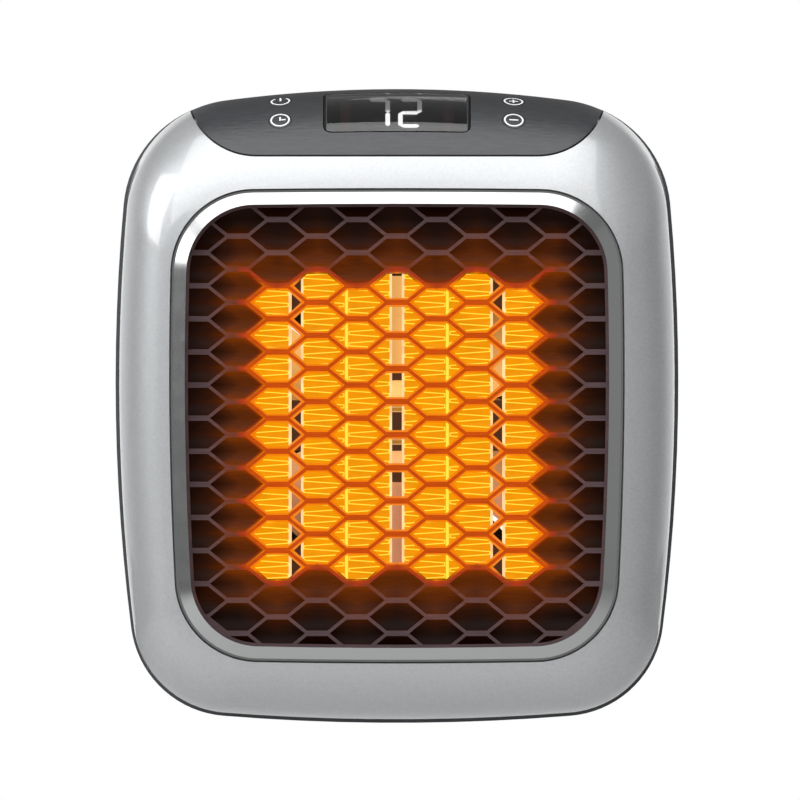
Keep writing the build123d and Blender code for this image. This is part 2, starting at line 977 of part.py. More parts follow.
def core_cap(side):
    """Moulded end cap that holds the strips' ends, above or below the core."""
    edge = core_high if side > 0 else core_low
    half = core_half_width + cap_side
    depths = (core_front + cap_setback, core_back - cap_setback)
    cap = block((-half, half), depths, (edge, edge + side * cap_height))
    socket = (edge, edge + side * strip_overhang)
    for x in strip_places():
        cap -= block(centred(x, strip_thickness), (core_front, core_back), socket)
    return cap


def heater_terminal(x):
    """Blade terminal under a strip, behind the holder's plate."""
    low = core_low - cap_height
    middle = (holder_back + core_back) / 2
    depths = centred(middle, tab_thickness)
    return block(centred(x, heater_tab_width), depths, (low - tab_length, low))


def holder_plate():
    """Rounded plate with an ear at each screw boss of the bezel."""
    tall = holder_top - holder_bottom
    outline = RectangleRounded(2 * holder_half_width, tall, holder_corner)
    plate = slab(Pos(0, (holder_top + holder_bottom) / 2) * outline, holder_front, holder_back)
    for x, z in ears_at:
        inner = math.copysign(holder_half_width - ear_radius, x)
        plate += rod(ear_radius, x, z, holder_front, holder_back)
        plate += block((inner, x), (holder_front, holder_back), centred(z, 2 * ear_radius))
    return plate


def fuse_saddle():
    """Small cradle on the holder's plate for the thermal fuse."""
    saddle = block(
        centred(fuse_link_x, fuse_saddle_length),
        (holder_back, fuse_link_y),
        centred(fuse_link_z, 2 * fuse_link_radius),
    )
    bore = Cylinder(fuse_link_radius + sensor_gap, fuse_link_length)
    return saddle - Pos(fuse_link_x, fuse_link_y, fuse_link_z) * Rot(0, 90, 0) * bore


def core_holder():
    """Black plate that carries the heater core, with a short duct behind it."""
    half = core_box_half
    low = core_low - cap_height - holder_gap
    high = core_high + cap_height + holder_gap
    sides = (-half - holder_wall, half + holder_wall)
    holder = holder_plate()
    for x, z in duct_posts_at:
        holder += rod(boss_radius, x, z, holder_back, holder_rear)
    holder += block(sides, (holder_back, holder_rear), (low - holder_wall, high + holder_wall))
    holder -= block((-half, half), (holder_front - overrun, core_back), (low, high))
    holder -= block(
        (-half + holder_lip, half - holder_lip),
        (core_front, holder_rear + overrun),
        (low + holder_lip, high - holder_lip),
    )
    depths = centred((holder_back + core_back) / 2, tab_thickness + 2 * holder_gap)
    for x in strip_places():
        slot = centred(x, heater_tab_width + 2 * holder_gap)
        holder -= block(slot, depths, (low - holder_wall - overrun, low))
    loose = small_screw_radius + boss_clearance
    for x, z in ears_at:
        holder -= rod(loose, x, z, holder_front - overrun, holder_back + overrun)
    for x, z in duct_posts_at:
        holder -= rod(small_screw_radius + pilot_gap, x, z, holder_rear - small_bite, holder_rear + overrun)
    return holder + fuse_saddle()


def thermal_cutout():
    """Bimetal thermostat: flat can, flange and two blade tabs."""
    x, z = thermostat_x, thermostat_z
    body = rod(thermostat_radius, x, z, holder_back, holder_back + thermostat_flange)
    back = holder_back + thermostat_height
    body += rod(thermostat_cap_radius, x, z, holder_back, back)
    for side in (-1, 1):
        middle = x + side * thermostat_tab_spread
        tab = (back, back + small_tab_length)
        body += block(centred(middle, tab_thickness), tab, centred(z, small_tab_width))
    return body


def thermal_fuse():
    """One-shot thermal fuse lying in its saddle."""
    place = Pos(fuse_link_x, fuse_link_y, fuse_link_z) * Rot(0, 90, 0)
    body = place * Cylinder(fuse_link_radius, fuse_link_length)
    return body + place * Cylinder(lead_radius, fuse_link_length + 2 * fuse_lead_length)


def fan_duct():
    """Plate with a round shroud, a bridge across it and the motor's cup, open beside the bridge."""
    bore = fan_radius + fan_tip_gap
    outline = RectangleRounded(2 * duct_half_width, duct_top - duct_bottom, duct_corner)
    duct = slab(Pos(0, (duct_top + duct_bottom) / 2) * outline, duct_front, duct_back)
    duct += rod(bore + duct_wall, 0, fan_height, duct_back, duct_end)
    duct -= rod(bore, 0, fan_height, duct_front - overrun, duct_end + overrun)
    cup = motor_radius + motor_cup_gap
    duct += rod(cup + motor_cup_wall, 0, fan_height, duct_front, duct_back + motor_cup_length)
    duct -= rod(cup, 0, fan_height, duct_back, duct_back + motor_cup_length + overrun)
    duct -= rod(cup - motor_cup_lip, 0, fan_height, duct_front - overrun, duct_back + overrun)
    reach = bore + duct_wall / 2
    duct += block((-reach, reach), (duct_front, duct_back), centred(fan_height, bridge_height))
    through = (duct_front - overrun, duct_back + overrun)
    loose = small_screw_radius + boss_clearance
    head = small_head_radius + boss_clearance
    for x, z in duct_posts_at:
        duct -= rod(loose, x, z, *through)
    for side in (-1, 1):
        x = side * motor_screw_spread
        duct -= rod(loose, x, fan_height, *through)
        duct -= rod(head, x, fan_height, duct_front - overrun, duct_front + small_head_height)
        duct -= motor_tab(side, through, holder_gap)
    return duct


def motor_tab(side, depths, gap):
    """Flat tab of one brush, or with a gap the slot that it passes through."""
    z = fan_height + side * motor_tab_spread
    return block(centred(0, small_tab_width + 2 * gap), depths, centred(z, tab_thickness + 2 * gap))


def motor_screw(side):
    """Screw from the front of the bridge into the motor's end cap."""
    x = side * motor_screw_spread
    head_back = duct_front + small_head_height
    head = rod(small_head_radius, x, fan_height, duct_front, head_back)
    tip = motor_front + motor_pilot_depth - pilot_gap
    return head + rod(small_screw_radius, x, fan_height, head_back, tip)


def motor_end_cap():
    """Plastic cap with the front bearing, the screw holes and the terminal slots."""
    cap = rod(motor_radius - motor_wall, 0, fan_height, motor_front, motor_cap_back)
    cap -= rod(shaft_radius + shaft_gap, 0, fan_height, motor_front + motor_wall, motor_cap_back + overrun)
    for side in (-1, 1):
        x = side * motor_screw_spread
        pilot = small_screw_radius + pilot_gap
        cap -= rod(pilot, x, fan_height, motor_front - overrun, motor_front + motor_pilot_depth)
        cap -= motor_tab(side, (motor_front - overrun, motor_cap_back + overrun), 0)
    return cap


def motor_terminal(side):
    """Brass tab of one brush, out through the bridge."""
    return motor_tab(side, (motor_cap_back - motor_tab_length, motor_cap_back), 0)


def motor_can():
    """Drawn steel can, open at the front, with the rear bearing in its end."""
    can = rod(motor_radius, 0, fan_height, motor_front, motor_back)
    can += rod(motor_boss_radius, 0, fan_height, motor_back, motor_back + motor_boss_length)
    can -= rod(motor_radius - motor_wall, 0, fan_height, motor_front - overrun, motor_back - motor_wall)
    can -= rod(shaft_radius + shaft_gap, 0, fan_height, motor_back - overrun, motor_back + overrun)
    return can


def motor_magnet(side):
    """Arc magnet against the can's wall."""
    outer = motor_radius - motor_wall
    front = motor_cap_back + commutator_length + motor_wall
    back = motor_back - 2 * motor_wall
    inner = outer - magnet_thickness
    return Pos(0, 0, fan_height) * sector(inner, outer, side * 90, magnet_half_angle, front, back)


def motor_armature():
    """Laminated rotor with its slots, and the commutator in front of it."""
    back = motor_back - 2 * motor_wall
    front = back - armature_length
    rotor = rod(armature_radius, 0, fan_height, front, back)
    for index in range(armature_slots):
        slot = block(
            (-armature_slot_width / 2, armature_slot_width / 2),
            (front - overrun, back + overrun),
            (armature_radius - armature_slot_depth, armature_radius + overrun),
        )
        rotor -= Pos(0, 0, fan_height) * Rot(0, 360 * index / armature_slots, 0) * slot
    rotor += rod(commutator_radius, 0, fan_height, front - commutator_length, front)
    return rotor - rod(shaft_radius, 0, fan_height, front - overrun, back + overrun)


def motor_shaft():
    """Shaft from the front bearing to the fan's hub."""
    return rod(shaft_radius, 0, fan_height, motor_front + motor_wall + shaft_gap, hub_back - fan_hub_wall)


def fan_blade():
    """One blade, twisted from its root to its tip."""
    faces = []
    root = fan_hub_radius - fan_hub_wall
    for radius, chord, angle in (
        (root, blade_root_chord, blade_root_angle),
        (fan_radius, blade_tip_chord, blade_tip_angle),
    ):
        station = Plane(origin=(radius, 0, 0), x_dir=(0, 1, 0), z_dir=(1, 0, 0))
        faces.append(station * Rot(0, 0, 90 - angle) * Rectangle(chord, blade_thickness))
    return loft(faces, ruled=True)


def fan_wheel():
    """Axial wheel: cup-shaped hub with twisted blades."""
    middle = (hub_front + hub_back) / 2
    hub = rod(fan_hub_radius, 0, 0, hub_front, hub_back)
    envelope = rod(fan_radius, 0, 0, hub_front, hub_back)
    envelope -= rod(fan_hub_radius - fan_hub_wall / 2, 0, 0, hub_front, hub_back)
    blade = (Pos(0, middle, 0) * fan_blade()) & envelope
    turns = [fan_rest_angle + 360 * index / fan_blades for index in range(fan_blades)]
    wheel = hub + [Rot(0, turn, 0) * blade for turn in turns]
    wheel -= rod(fan_hub_radius - fan_hub_wall, 0, 0, hub_front - overrun, hub_back - fan_hub_wall)
    wheel += rod(fan_boss_radius, 0, 0, hub_front + fan_hub_wall, hub_back)
    wheel -= rod(shaft_radius, 0, 0, hub_front - overrun, hub_back - fan_hub_wall)
    return Pos(0, 0, fan_height) * wheel


def rear_tongue():
    """Rim that reaches into the front bezel, with its root on the housing's wall."""
    outer = shell_wall + tongue_gap + rim_step
    inner = outer + tongue_wall
    tongue = slab(rear_face(outer), parting_y - tongue_length, parting_y)
    tongue -= slab(rear_face(inner), parting_y - tongue_length - overrun, parting_y + overrun)
    root = slab(rear_face(shell_wall / 2), parting_y, parting_y + tongue_length)
    root -= slab(rear_face(inner), parting_y - overrun, parting_y + tongue_length + overrun)
    for x, z in housing_screws_at:
        tongue -= rod(boss_radius + boss_clearance, x, z, parting_y - tongue_length - overrun, parting_y)
    return tongue + root


def swivel_collar():
    """Thick ring that the plug's neck turns in, and the lug that limits its turn."""
    collar = rod(collar_radius, 0, 0, rear_y - collar_length, rear_y)
    inner = retainer_radius + lug_gap
    outer = retainer_radius + lug_height
    return collar + sector(inner, outer, -90, lug_half_angle, retainer_front, inner_rear_y)


def switch_box(width, height, margin, xs):
    """Box on the switch's centre line, of a size and a margin all round."""
    return block(xs, centred(switch_y, width + 2 * margin), centred(switch_height, height + 2 * margin))


def sensor_post():
    """Short post on the left flank that holds the room sensor."""
    size = sensor_post_width
    post = block((-half_width, sensor_x), centred(sensor_y, size), centred(sensor_height, size))
    return post & rear_solid


def rear_housing():
    """Dark rear shell: swivel collar, intake slots, screw tubes and inside posts."""
    shell = (rear_solid - rear_inside) + rear_tongue() + swivel_collar() + sensor_post()
    for x, z in housing_screws_at:
        shell += rod(screw_tube_radius, x, z, parting_y, rear_y) & rear_solid
    for side in (-1, 1):
        shell += rod(wiper_post_radius, side * wiper_post_x, 0, wiper_bar_back, inner_rear_y)
    foot = supply_top - supply_thickness
    for x, y in supply_posts_at:
        shell += upright(supply_post_radius, x, y, -half_height, foot) & rear_solid
    depth = (switch_seat_x - switch_backing, half_width)
    shell += switch_box(switch_flange_width, switch_flange_height, shell_wall, depth) & rear_solid
    return shell - rear_holes() - intake_slots()


def rear_holes():
    """The switch's cut-out, the swivel's bore, the sensor's seat and all screw holes."""
    pocket = (switch_seat_x, half_width + overrun)
    cut = (switch_seat_x - overrun, half_width)
    holes = [
        switch_box(switch_flange_width, switch_flange_height, switch_pocket_gap, pocket),
        switch_box(switch_body_width, switch_body_height, switch_cut_gap, cut),
        rod(plug_neck_radius + swivel_gap, 0, 0, rear_y - collar_length - overrun, rear_y + overrun),
        upright(sensor_radius + sensor_gap, sensor_x, sensor_y, *centred(sensor_height, 2 * sensor_length)),
    ]
    for x, z in housing_screws_at:
        holes.append(rod(screw_tube_bore, x, z, parting_y + screw_seat_thickness, rear_y + overrun))
        holes.append(rod(screw_radius + boss_clearance, x, z, parting_y - overrun, rear_y))
    pilot = small_screw_radius + pilot_gap
    for side in (-1, 1):
        x = side * wiper_post_x
        holes.append(rod(pilot, x, 0, wiper_bar_back - overrun, wiper_bar_back + small_bite))
    foot = supply_top - supply_thickness
    for x, y in supply_posts_at:
        holes.append(upright(pilot, x, y, foot - small_bite, foot + overrun))
    return holes


def intake_slots():
    """Radial slots round the swivel and level slots in both flanks."""
    slots = []
    wall = (inner_rear_y - overrun, rear_y + overrun)
    radial = block(centred(0, intake_slot_width), wall, (intake_inner, intake_outer))
    for index in range(intake_count):
        slots.append(Rot(0, 360 * (index + 1 / 2) / intake_count, 0) * radial)
    back = rear_y - vent_rear
    across = (-half_width - overrun, half_width + overrun)
    for index in range(vent_count):
        z = vent_low + index * vent_pitch
        slots.append(block(across, (back - vent_length, back), (z, z + vent_height)))
    return slots


def housing_screw(x, z):
    """Long-reach screw at the bottom of its tube."""
    head_front = parting_y + screw_seat_thickness
    bite = screw_seat_thickness + screw_bite
    return screw(screw_radius, screw_head_radius, screw_head_height, x, z, head_front, bite)


def plug_base():
    """Turned plug body: round head outside, neck through the housing's collar."""
    head_front = rear_y + plug_head_gap
    head = rod(plug_head_radius, 0, 0, head_front, 0)
    head = fillet(head.edges().filter_by(GeomType.CIRCLE), plug_head_edge)
    base = head + rod(plug_neck_radius, 0, 0, retainer_back, head_front + plug_head_edge)
    for side, width in ((-1, live_blade_width), (1, neutral_blade_width)):
        base -= blade_block(side, width, retainer_back - overrun, overrun)
    pilot = small_screw_radius + pilot_gap
    for x, z in retainer_screws_at():
        base -= rod(pilot, x, z, retainer_back - overrun, retainer_back + small_bite)
    return base


def blade_block(side, width, front, back):
    """Straight stretch of a blade's metal."""
    return block(centred(side * blade_spacing / 2, blade_metal), (front, back), centred(0, width))


def plug_blade(side, width):
    """Flat contact blade with a tapered nose and a hole near its end."""
    blade = blade_block(side, width, retainer_front, blade_reach)
    x = side * blade_spacing / 2
    nose = blade.edges().filter_by(Axis.X).group_by(Axis.Y)[-1]
    blade = chamfer(nose, blade_nose)
    drill = Rot(0, 90, 0) * Cylinder(blade_hole_radius, 2 * blade_metal)
    return blade - Pos(x, blade_reach - blade_hole_setback, 0) * drill


def retainer_screws_at():
    """X and Z of the retainer's screws."""
    step = 360 / retainer_screw_count
    return [polar(retainer_screw_ring, step * index) for index in range(retainer_screw_count)]


def swivel_retainer():
    """Disc that traps the collar, with the arc that stops the swivel at its ends."""
    depths = (retainer_front, retainer_back)
    disc = rod(retainer_radius, 0, 0, *depths)
    disc += sector(plug_neck_radius, retainer_radius + stop_height, 180, stop_half_angle, *depths)
    for side, width in ((-1, live_blade_width), (1, neutral_blade_width)):
        disc -= blade_block(side, width, retainer_front - overrun, retainer_back + overrun)
    for x, z in retainer_screws_at():
        disc -= rod(small_screw_radius + pilot_gap, x, z, retainer_front - overrun, retainer_back + overrun)
    return disc


def retainer_screw(x, z):
    """Screw through the retainer into the plug's neck."""
    head = rod(small_head_radius, x, z, retainer_front - small_head_height, retainer_front)
    return head + rod(small_screw_radius, x, z, retainer_front, retainer_back + small_bite - pilot_gap)


def contact_track(inner, outer, side):
    """Slip ring with a tab onto its blade's tail."""
    ring = rod(outer, 0, 0, track_front, retainer_front) - rod(inner, 0, 0, track_front, retainer_front)
    blade_edge = blade_spacing / 2 - side * blade_metal / 2
    xs = (side * blade_edge, side * (inner + outer) / 2)
    return ring + block(xs, (track_front, retainer_front), centred(0, track_tab_width))


def wiper_holder():
    """Bar before the tracks that carries both wipers."""
    depths = (wiper_bar_back - wiper_bar_thickness, wiper_bar_back)
    bar = block(centred(0, 2 * wiper_bar_half_length), depths, centred(0, wiper_bar_width))
    loose = small_screw_radius + boss_clearance
    for side in (-1, 1):
        bar -= rod(loose, side * wiper_post_x, 0, depths[0] - overrun, wiper_bar_back + overrun)
    return bar


def wiper_spring(side, radius):
    """Leaf on the bar, bent down to its track."""
    x = side * radius
    heights = centred(side * wiper_width / 2, wiper_width)
    leaf = block((x, side * wiper_leaf_end), (wiper_bar_back, wiper_back), heights)
    tip = (wiper_bar_back, track_front - wiper_gap)
    return leaf + block((x, x + side * wiper_thickness), tip, heights)


def wiper_screw(side):
    """Screw that holds the bar to its post."""
    x = side * wiper_post_x
    front = wiper_bar_back - wiper_bar_thickness
    head = rod(small_head_radius, x, 0, front - small_head_height, front)
    return head + rod(small_screw_radius, x, 0, front, wiper_bar_back + small_bite - pilot_gap)


def switch_body():
    """Hollow switch case with its flange and the two holes for the rocker's pins."""
    back = switch_seat_x - switch_body_depth
    flange = (switch_seat_x, switch_seat_x + switch_flange_thickness)
    case = switch_box(switch_body_width, switch_body_height, 0, (back, switch_seat_x))
    case += switch_box(switch_flange_width, switch_flange_height, 0, flange)
    inside_width = switch_body_width - 2 * switch_wall
    inside_height = switch_body_height - 2 * switch_end_wall
    case -= switch_box(inside_width, inside_height, 0, (back + 2 * switch_wall, half_width))
    bore = Rot(90, 0, 0) * Cylinder(rocker_pin_radius + rocker_pin_gap, switch_body_width)
    return case - Pos(rocker_pivot_x, switch_y, switch_height) * bore


def switch_rocker():
    """Rocking key with its two pivot pins, drawn level and then tipped to one end."""
    rise = switch_flange_thickness + rocker_pivot_depth
    edge = rise + rocker_half_length * math.tan(math.radians(rocker_swing))
    low = rise - rocker_rise
    points = [(rise, 0), (edge, rocker_half_length), (low, rocker_half_length)]
    points += [(low, -rocker_half_length), (edge, -rocker_half_length)]
    profile = make_face(Polyline(*points, close=True)) + Circle(rocker_drum_radius)
    plane = Plane(origin=(0, rocker_width / 2, 0), x_dir=(1, 0, 0), z_dir=(0, -1, 0))
    rocker = extrude(plane * profile, rocker_width)
    pin = Rot(90, 0, 0) * Cylinder(rocker_pin_radius, rocker_width + 2 * rocker_pin_length)
    return Pos(rocker_pivot_x, switch_y, switch_height) * Rot(0, rocker_swing, 0) * (rocker + pin)


def switch_terminal(side):
    """Blade at the back of the switch."""
    back = switch_seat_x - switch_body_depth
    z = switch_height + side * switch_tab_spread
    return block((back - tab_length, back), centred(switch_y, tab_width), centred(z, tab_thickness))


def power_board():
    """Circuit board on four posts at the bottom of the housing."""
    sides = centred(0, 2 * supply_half_width)
    board = block(sides, (-supply_front, -supply_rear), (supply_top - supply_thickness, supply_top))
    for x, y in supply_posts_at:
        board -= upright(board_hole_radius, x, y, supply_top - overrun, supply_top + overrun)
    return board


def supply_screw(x, y):
    """Screw through the power board into its post."""
    head = upright(small_head_radius, x, y, supply_top, supply_top + small_head_height)
    low = supply_top - supply_thickness - small_bite + pilot_gap
    return head + upright(small_screw_radius, x, y, low, supply_top)


def on_board(x, y, length, width, height):
    """Box component standing on the power board."""
    return block(centred(x, length), centred(y, width), (supply_top, supply_top + height))


def choke():
    """Bobbin choke: a neck between two flanges."""
    top = supply_top + coil_height
    body = upright(coil_radius, coil_x, coil_y, supply_top, supply_top + coil_flange)
    body += upright(coil_radius, coil_x, coil_y, top - coil_flange, top)
    return body + upright(coil_neck_radius, coil_x, coil_y, supply_top, top)


def varistor():
    """Round disc standing on its two leads."""
    z = supply_top + varistor_stand + varistor_radius
    disc = Pos(varistor_x, varistor_y, z) * Rot(90, 0, 0) * Cylinder(varistor_radius, varistor_thickness)
    for side in (-1, 1):
        disc += upright(lead_radius, varistor_x + side * varistor_lead_spread, varistor_y, supply_top, z)
    return disc


def board_fuse():
    """Glass fuse with its two end caps, lying in its clips."""
    z = supply_top + fuse_radius
    place = Pos(fuse_x, fuse_y, z) * Rot(0, 90, 0)
    body = place * Cylinder(fuse_radius - fuse_cap_wall, fuse_length)
    cap = Cylinder(fuse_radius, fuse_cap_length)
    for side in (-1, 1):
        body += place * Pos(0, 0, side * (fuse_length - fuse_cap_length) / 2) * cap
    return body


def terminal_block():
    """Screw terminals for the heater and motor leads."""
    body = on_board(terminal_x, terminal_y, terminal_length, terminal_width, terminal_height)
    top = supply_top + terminal_height
    for index in range(terminal_ways):
        x = terminal_x + (index - (terminal_ways - 1) / 2) * terminal_length / terminal_ways
        body -= upright(terminal_hole_radius, x, terminal_y, top - terminal_hole_depth, top + overrun)
    return body


def temperature_sensor():
    """Bead thermistor standing in its post."""
    return upright(sensor_radius, sensor_x, sensor_y, *centred(sensor_height, sensor_length))


write("front_bezel", front_bezel())
write("trim_ring", trim_ring())
write("front_grille", front_grille())
write("control_panel", control_panel())
write("display_lens", display_lens())
for name, (x, angle) in keys.items():
    write(name, key(x, angle))
write("control_board", control_board())
write("board_screws", *[board_screw(x, along) for x, along in board_posts_at])
write("key_switches", *[key_switch(x, angle) for x, angle in keys.values()])
write("display_module", display_module())
lit_bars, dark_bars = display_segments()
write("lit_segments", *lit_bars)
write("dark_segments", *dark_bars)
write("controller_chip", under_board(chip_x, chip_size, chip_size, chip_thickness))
write("board_socket", under_board(socket_x, socket_length, socket_depth, socket_height))
write("heating_strips", *[heating_strip(x) for x in strip_places()])
write("heater_fins", *[folded_fin(near, far) for near, far, side in stack_places()])
write("fin_plates", *[fin_plate(far, side) for near, far, side in stack_places()])
write("core_end_caps", core_cap(1), core_cap(-1))
write("heater_terminals", *[heater_terminal(x) for x in strip_places()])
write("core_holder", core_holder())
holder_bite = holder_plate_thickness + small_bite
write("holder_screws", *[small_screw(x, z, holder_back, holder_bite) for x, z in ears_at])
write("thermal_cutout", thermal_cutout())
write("thermal_fuse", thermal_fuse())
write("fan_duct", fan_duct())
duct_bite = duct_plate_thickness + small_bite - pilot_gap
write("duct_screws", *[small_screw(x, z, duct_back, duct_bite) for x, z in duct_posts_at])
write("motor_screws", motor_screw(-1), motor_screw(1))
write("motor_end_cap", motor_end_cap())
write("motor_terminals", motor_terminal(-1), motor_terminal(1))
write("motor_can", motor_can())
write("motor_magnets", motor_magnet(-1), motor_magnet(1))
write("motor_armature", motor_armature())
write("motor_shaft", motor_shaft())
write("fan_wheel", fan_wheel())
write("rear_housing", rear_housing())
write("housing_screws", *[housing_screw(x, z) for x, z in housing_screws_at])
write("plug_base", plug_base())
write("live_blade", plug_blade(-1, live_blade_width))
write("neutral_blade", plug_blade(1, neutral_blade_width))
write("swivel_retainer", swivel_retainer())
write("retainer_screws", *[retainer_screw(x, z) for x, z in retainer_screws_at()])
inner_track = contact_track(inner_track_inner, inner_track_outer, -1)
outer_track = contact_track(outer_track_inner, outer_track_outer, 1)
write("contact_tracks", inner_track, outer_track)
write("wiper_holder", wiper_holder())
inner_wiper = wiper_spring(-1, (inner_track_inner + inner_track_outer) / 2)
outer_wiper = wiper_spring(1, (outer_track_inner + outer_track_outer) / 2)
write("wiper_springs", inner_wiper, outer_wiper)
write("wiper_screws", wiper_screw(-1), wiper_screw(1))
write("switch_body", switch_body())
write("switch_rocker", switch_rocker())
write("switch_terminals", switch_terminal(-1), switch_terminal(1))
write("power_board", power_board())
write("supply_screws", *[supply_screw(x, y) for x, y in supply_posts_at])
write("relay", on_board(relay_x, relay_y, relay_length, relay_width, relay_height))
film_cap_size = (film_cap_length, film_cap_width, film_cap_height)
write("film_capacitor", on_board(film_cap_x, film_cap_y, *film_cap_size))
write("choke", choke())
write("varistor", varistor())
write("board_fuse", board_fuse())
write("terminal_block", terminal_block())
write("temperature_sensor", temperature_sensor())
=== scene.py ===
import math

import bmesh
import bpy
from bpy.props import FloatProperty, FloatVectorProperty, IntProperty, PointerProperty
from mathutils import Matrix, Vector
from mathutils.bvhtree import BVHTree


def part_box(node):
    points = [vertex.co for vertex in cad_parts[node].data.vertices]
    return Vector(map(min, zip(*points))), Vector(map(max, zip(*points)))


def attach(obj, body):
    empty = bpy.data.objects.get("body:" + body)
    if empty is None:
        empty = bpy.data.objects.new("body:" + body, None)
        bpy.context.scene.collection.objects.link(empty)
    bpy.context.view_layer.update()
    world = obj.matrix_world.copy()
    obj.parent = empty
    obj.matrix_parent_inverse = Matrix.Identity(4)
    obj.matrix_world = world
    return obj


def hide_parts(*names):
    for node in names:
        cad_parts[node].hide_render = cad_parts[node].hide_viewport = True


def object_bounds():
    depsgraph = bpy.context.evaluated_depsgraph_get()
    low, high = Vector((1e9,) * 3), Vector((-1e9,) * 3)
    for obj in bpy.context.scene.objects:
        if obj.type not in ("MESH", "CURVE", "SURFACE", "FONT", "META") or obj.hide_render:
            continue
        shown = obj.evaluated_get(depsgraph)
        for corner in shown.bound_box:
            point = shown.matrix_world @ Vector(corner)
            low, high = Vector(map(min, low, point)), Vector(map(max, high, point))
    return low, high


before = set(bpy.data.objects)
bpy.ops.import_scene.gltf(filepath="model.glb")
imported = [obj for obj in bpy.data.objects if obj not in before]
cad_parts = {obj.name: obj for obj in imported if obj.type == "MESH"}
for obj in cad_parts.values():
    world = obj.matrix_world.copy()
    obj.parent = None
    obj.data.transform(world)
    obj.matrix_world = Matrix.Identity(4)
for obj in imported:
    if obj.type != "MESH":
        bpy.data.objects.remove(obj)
cad_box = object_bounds()

bl_info = {
    "name": "Outlet heater finish",
    "version": (1, 0, 0),
    "blender": (4, 5, 0),
    "location": "3D View > Sidebar > Heater",
    "description": "Finishes, printed signs, glow and studio for a plug-in fan heater",
    "category": "Object",
}

mm = 0.001

# The crown that carries the panel: a quarter round about this line, with the board tilted in it
crown_radius = 28 * mm
crown_line = Vector((0, -73 * mm, 49.75 * mm))
board_tilt = math.radians(55)
up_slope = Vector((0, math.sin(board_tilt), math.cos(board_tilt)))
outward = Vector((0, -math.cos(board_tilt), math.sin(board_tilt)))

core_low, core_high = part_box("heater_fins")
grille_low, grille_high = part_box("front_grille")


def linear(code):
    """Linear colour of an sRGB hex code."""
    levels = [int(code[index:index + 2], 16) / 255 for index in (1, 3, 5)]
    return [level / 12.92 if level <= 0.04045 else ((level + 0.055) / 1.055) ** 2.4 for level in levels]


def rgba(code):
    """Linear colour with full opacity."""
    return (*linear(code), 1)


def grey(level):
    """Plain level between black and white, as a pattern's colour."""
    return (level, level, level, 1)


def shade(colour, share):
    """Colour made darker or lighter."""
    return (*[min(1, level * share) for level in colour[:3]], 1)


def colour_setting(name, description, code):
    """Colour property of the sidebar."""
    return FloatVectorProperty(
        name=name, description=description, subtype="COLOR", size=4, min=0, max=1, default=rgba(code)
    )


def length_setting(name, description, default):
    """Length property of the sidebar."""
    return FloatProperty(name=name, description=description, default=default, unit="LENGTH")


def power_setting(name, description, default):
    """Property of the sidebar for a lamp's power or a light's strength."""
    return FloatProperty(name=name, description=description, default=default, min=0)


class HeaterFinish(bpy.types.PropertyGroup):
    """Colours and grain of the outside."""

    silver: colour_setting("Silver paint", "Colour of the painted front shell", "#A6A8AA")
    flake: length_setting("Flake", "Width of one metal flake in the paint", 0.45 * mm)
    trim: colour_setting("Trim ring", "Colour of the plated ring", "#A8A9A9")
    ring_slope: length_setting("Ring slope", "How far the ring's face falls outwards", 1.3 * mm)
    panel: colour_setting("Panel", "Colour of the control panel and its keys", "#1F2125")
    panel_grain: length_setting("Panel grain", "Width of the panel's moulded grain", 0.35 * mm)
    print_width: length_setting(
        "Window print", "Width of the black line round the display window", 0.6 * mm
    )
    shell: colour_setting("Rear shell", "Colour of the rear housing and the plug", "#3A3D41")
    spark: length_setting("Spark texture", "Width of the rear shell's grain", 0.5 * mm)


class HeaterGlow(bpy.types.PropertyGroup):
    """Light of the hot core, painted on as a glow: on the core itself and on the parts round it."""

    fin: colour_setting("Fins", "Colour of the hot fins between their edges", "#EE9400")
    edge: colour_setting("Fin edges", "Colour of the fins' front edges", "#FFE23C")
    # Painted glow: the core's light on the grille's ribs before it
    painted_strut_glow: colour_setting("Grille", "Colour of the grille before the core", "#C64A00")
    # Painted glow: the core's light on dark parts just beside the core
    painted_haze_glow: colour_setting("Near the core", "Colour of dark parts just beside the core", "#7E3600")
    # Painted highlight on the grille's black front edges
    painted_rib_glint: colour_setting("Rib tips", "Colour of the grille's front edges", "#403639")
    cell: colour_setting("Blind cells", "Colour inside the grille's closed cells", "#0A0707")
    power: FloatProperty(
        name="Glow", description="Strength of the core's light", default=1.0, min=0, max=5
    )
    reach: length_setting("Reach", "How far the glow is seen round the core", 24 * mm)
    column: length_setting("Cell column", "Spacing of the grille's columns", 9.7 * mm)
    row: length_setting("Cell row", "Spacing of the grille's rows", 8.05 * mm)
    first_row: length_setting("First row", "Height of the outer lit column's lowest cell", -39.1 * mm)
    middle: length_setting("Lit middle", "Height of the upper lit columns' middle", -2.95 * mm)
    half_width: length_setting(
        "Lit half width", "From the middle to the outer lit cells' tips", 36.8 * mm
    )
    half_height: length_setting("Lit half height", "Half of one lit column's height", 35.2 * mm)
    tooth: length_setting("Tooth", "How far the lit outline steps in between two rows", 4.5 * mm)
    bright_strip: length_setting(
        "Bright strips", "How far from the middle the two brightest strips stand", 12.3 * mm
    )
    stacks: FloatVectorProperty(
        name="Fin stacks", description="How far from the middle each pair of fin stacks stands",
        size=3, default=(6.8 * mm, 17.8 * mm, 31.4 * mm), unit="LENGTH",
    )
    stack_width: length_setting("Stack width", "Width of one fin stack", 10 * mm)
    louvre: length_setting("Louvre", "Thickness of the fins' louvres", 0.15 * mm)
    set_back: length_setting(
        "Louvre depth", "From the fins' front edges to the middle of their louvres", 1.2 * mm
    )


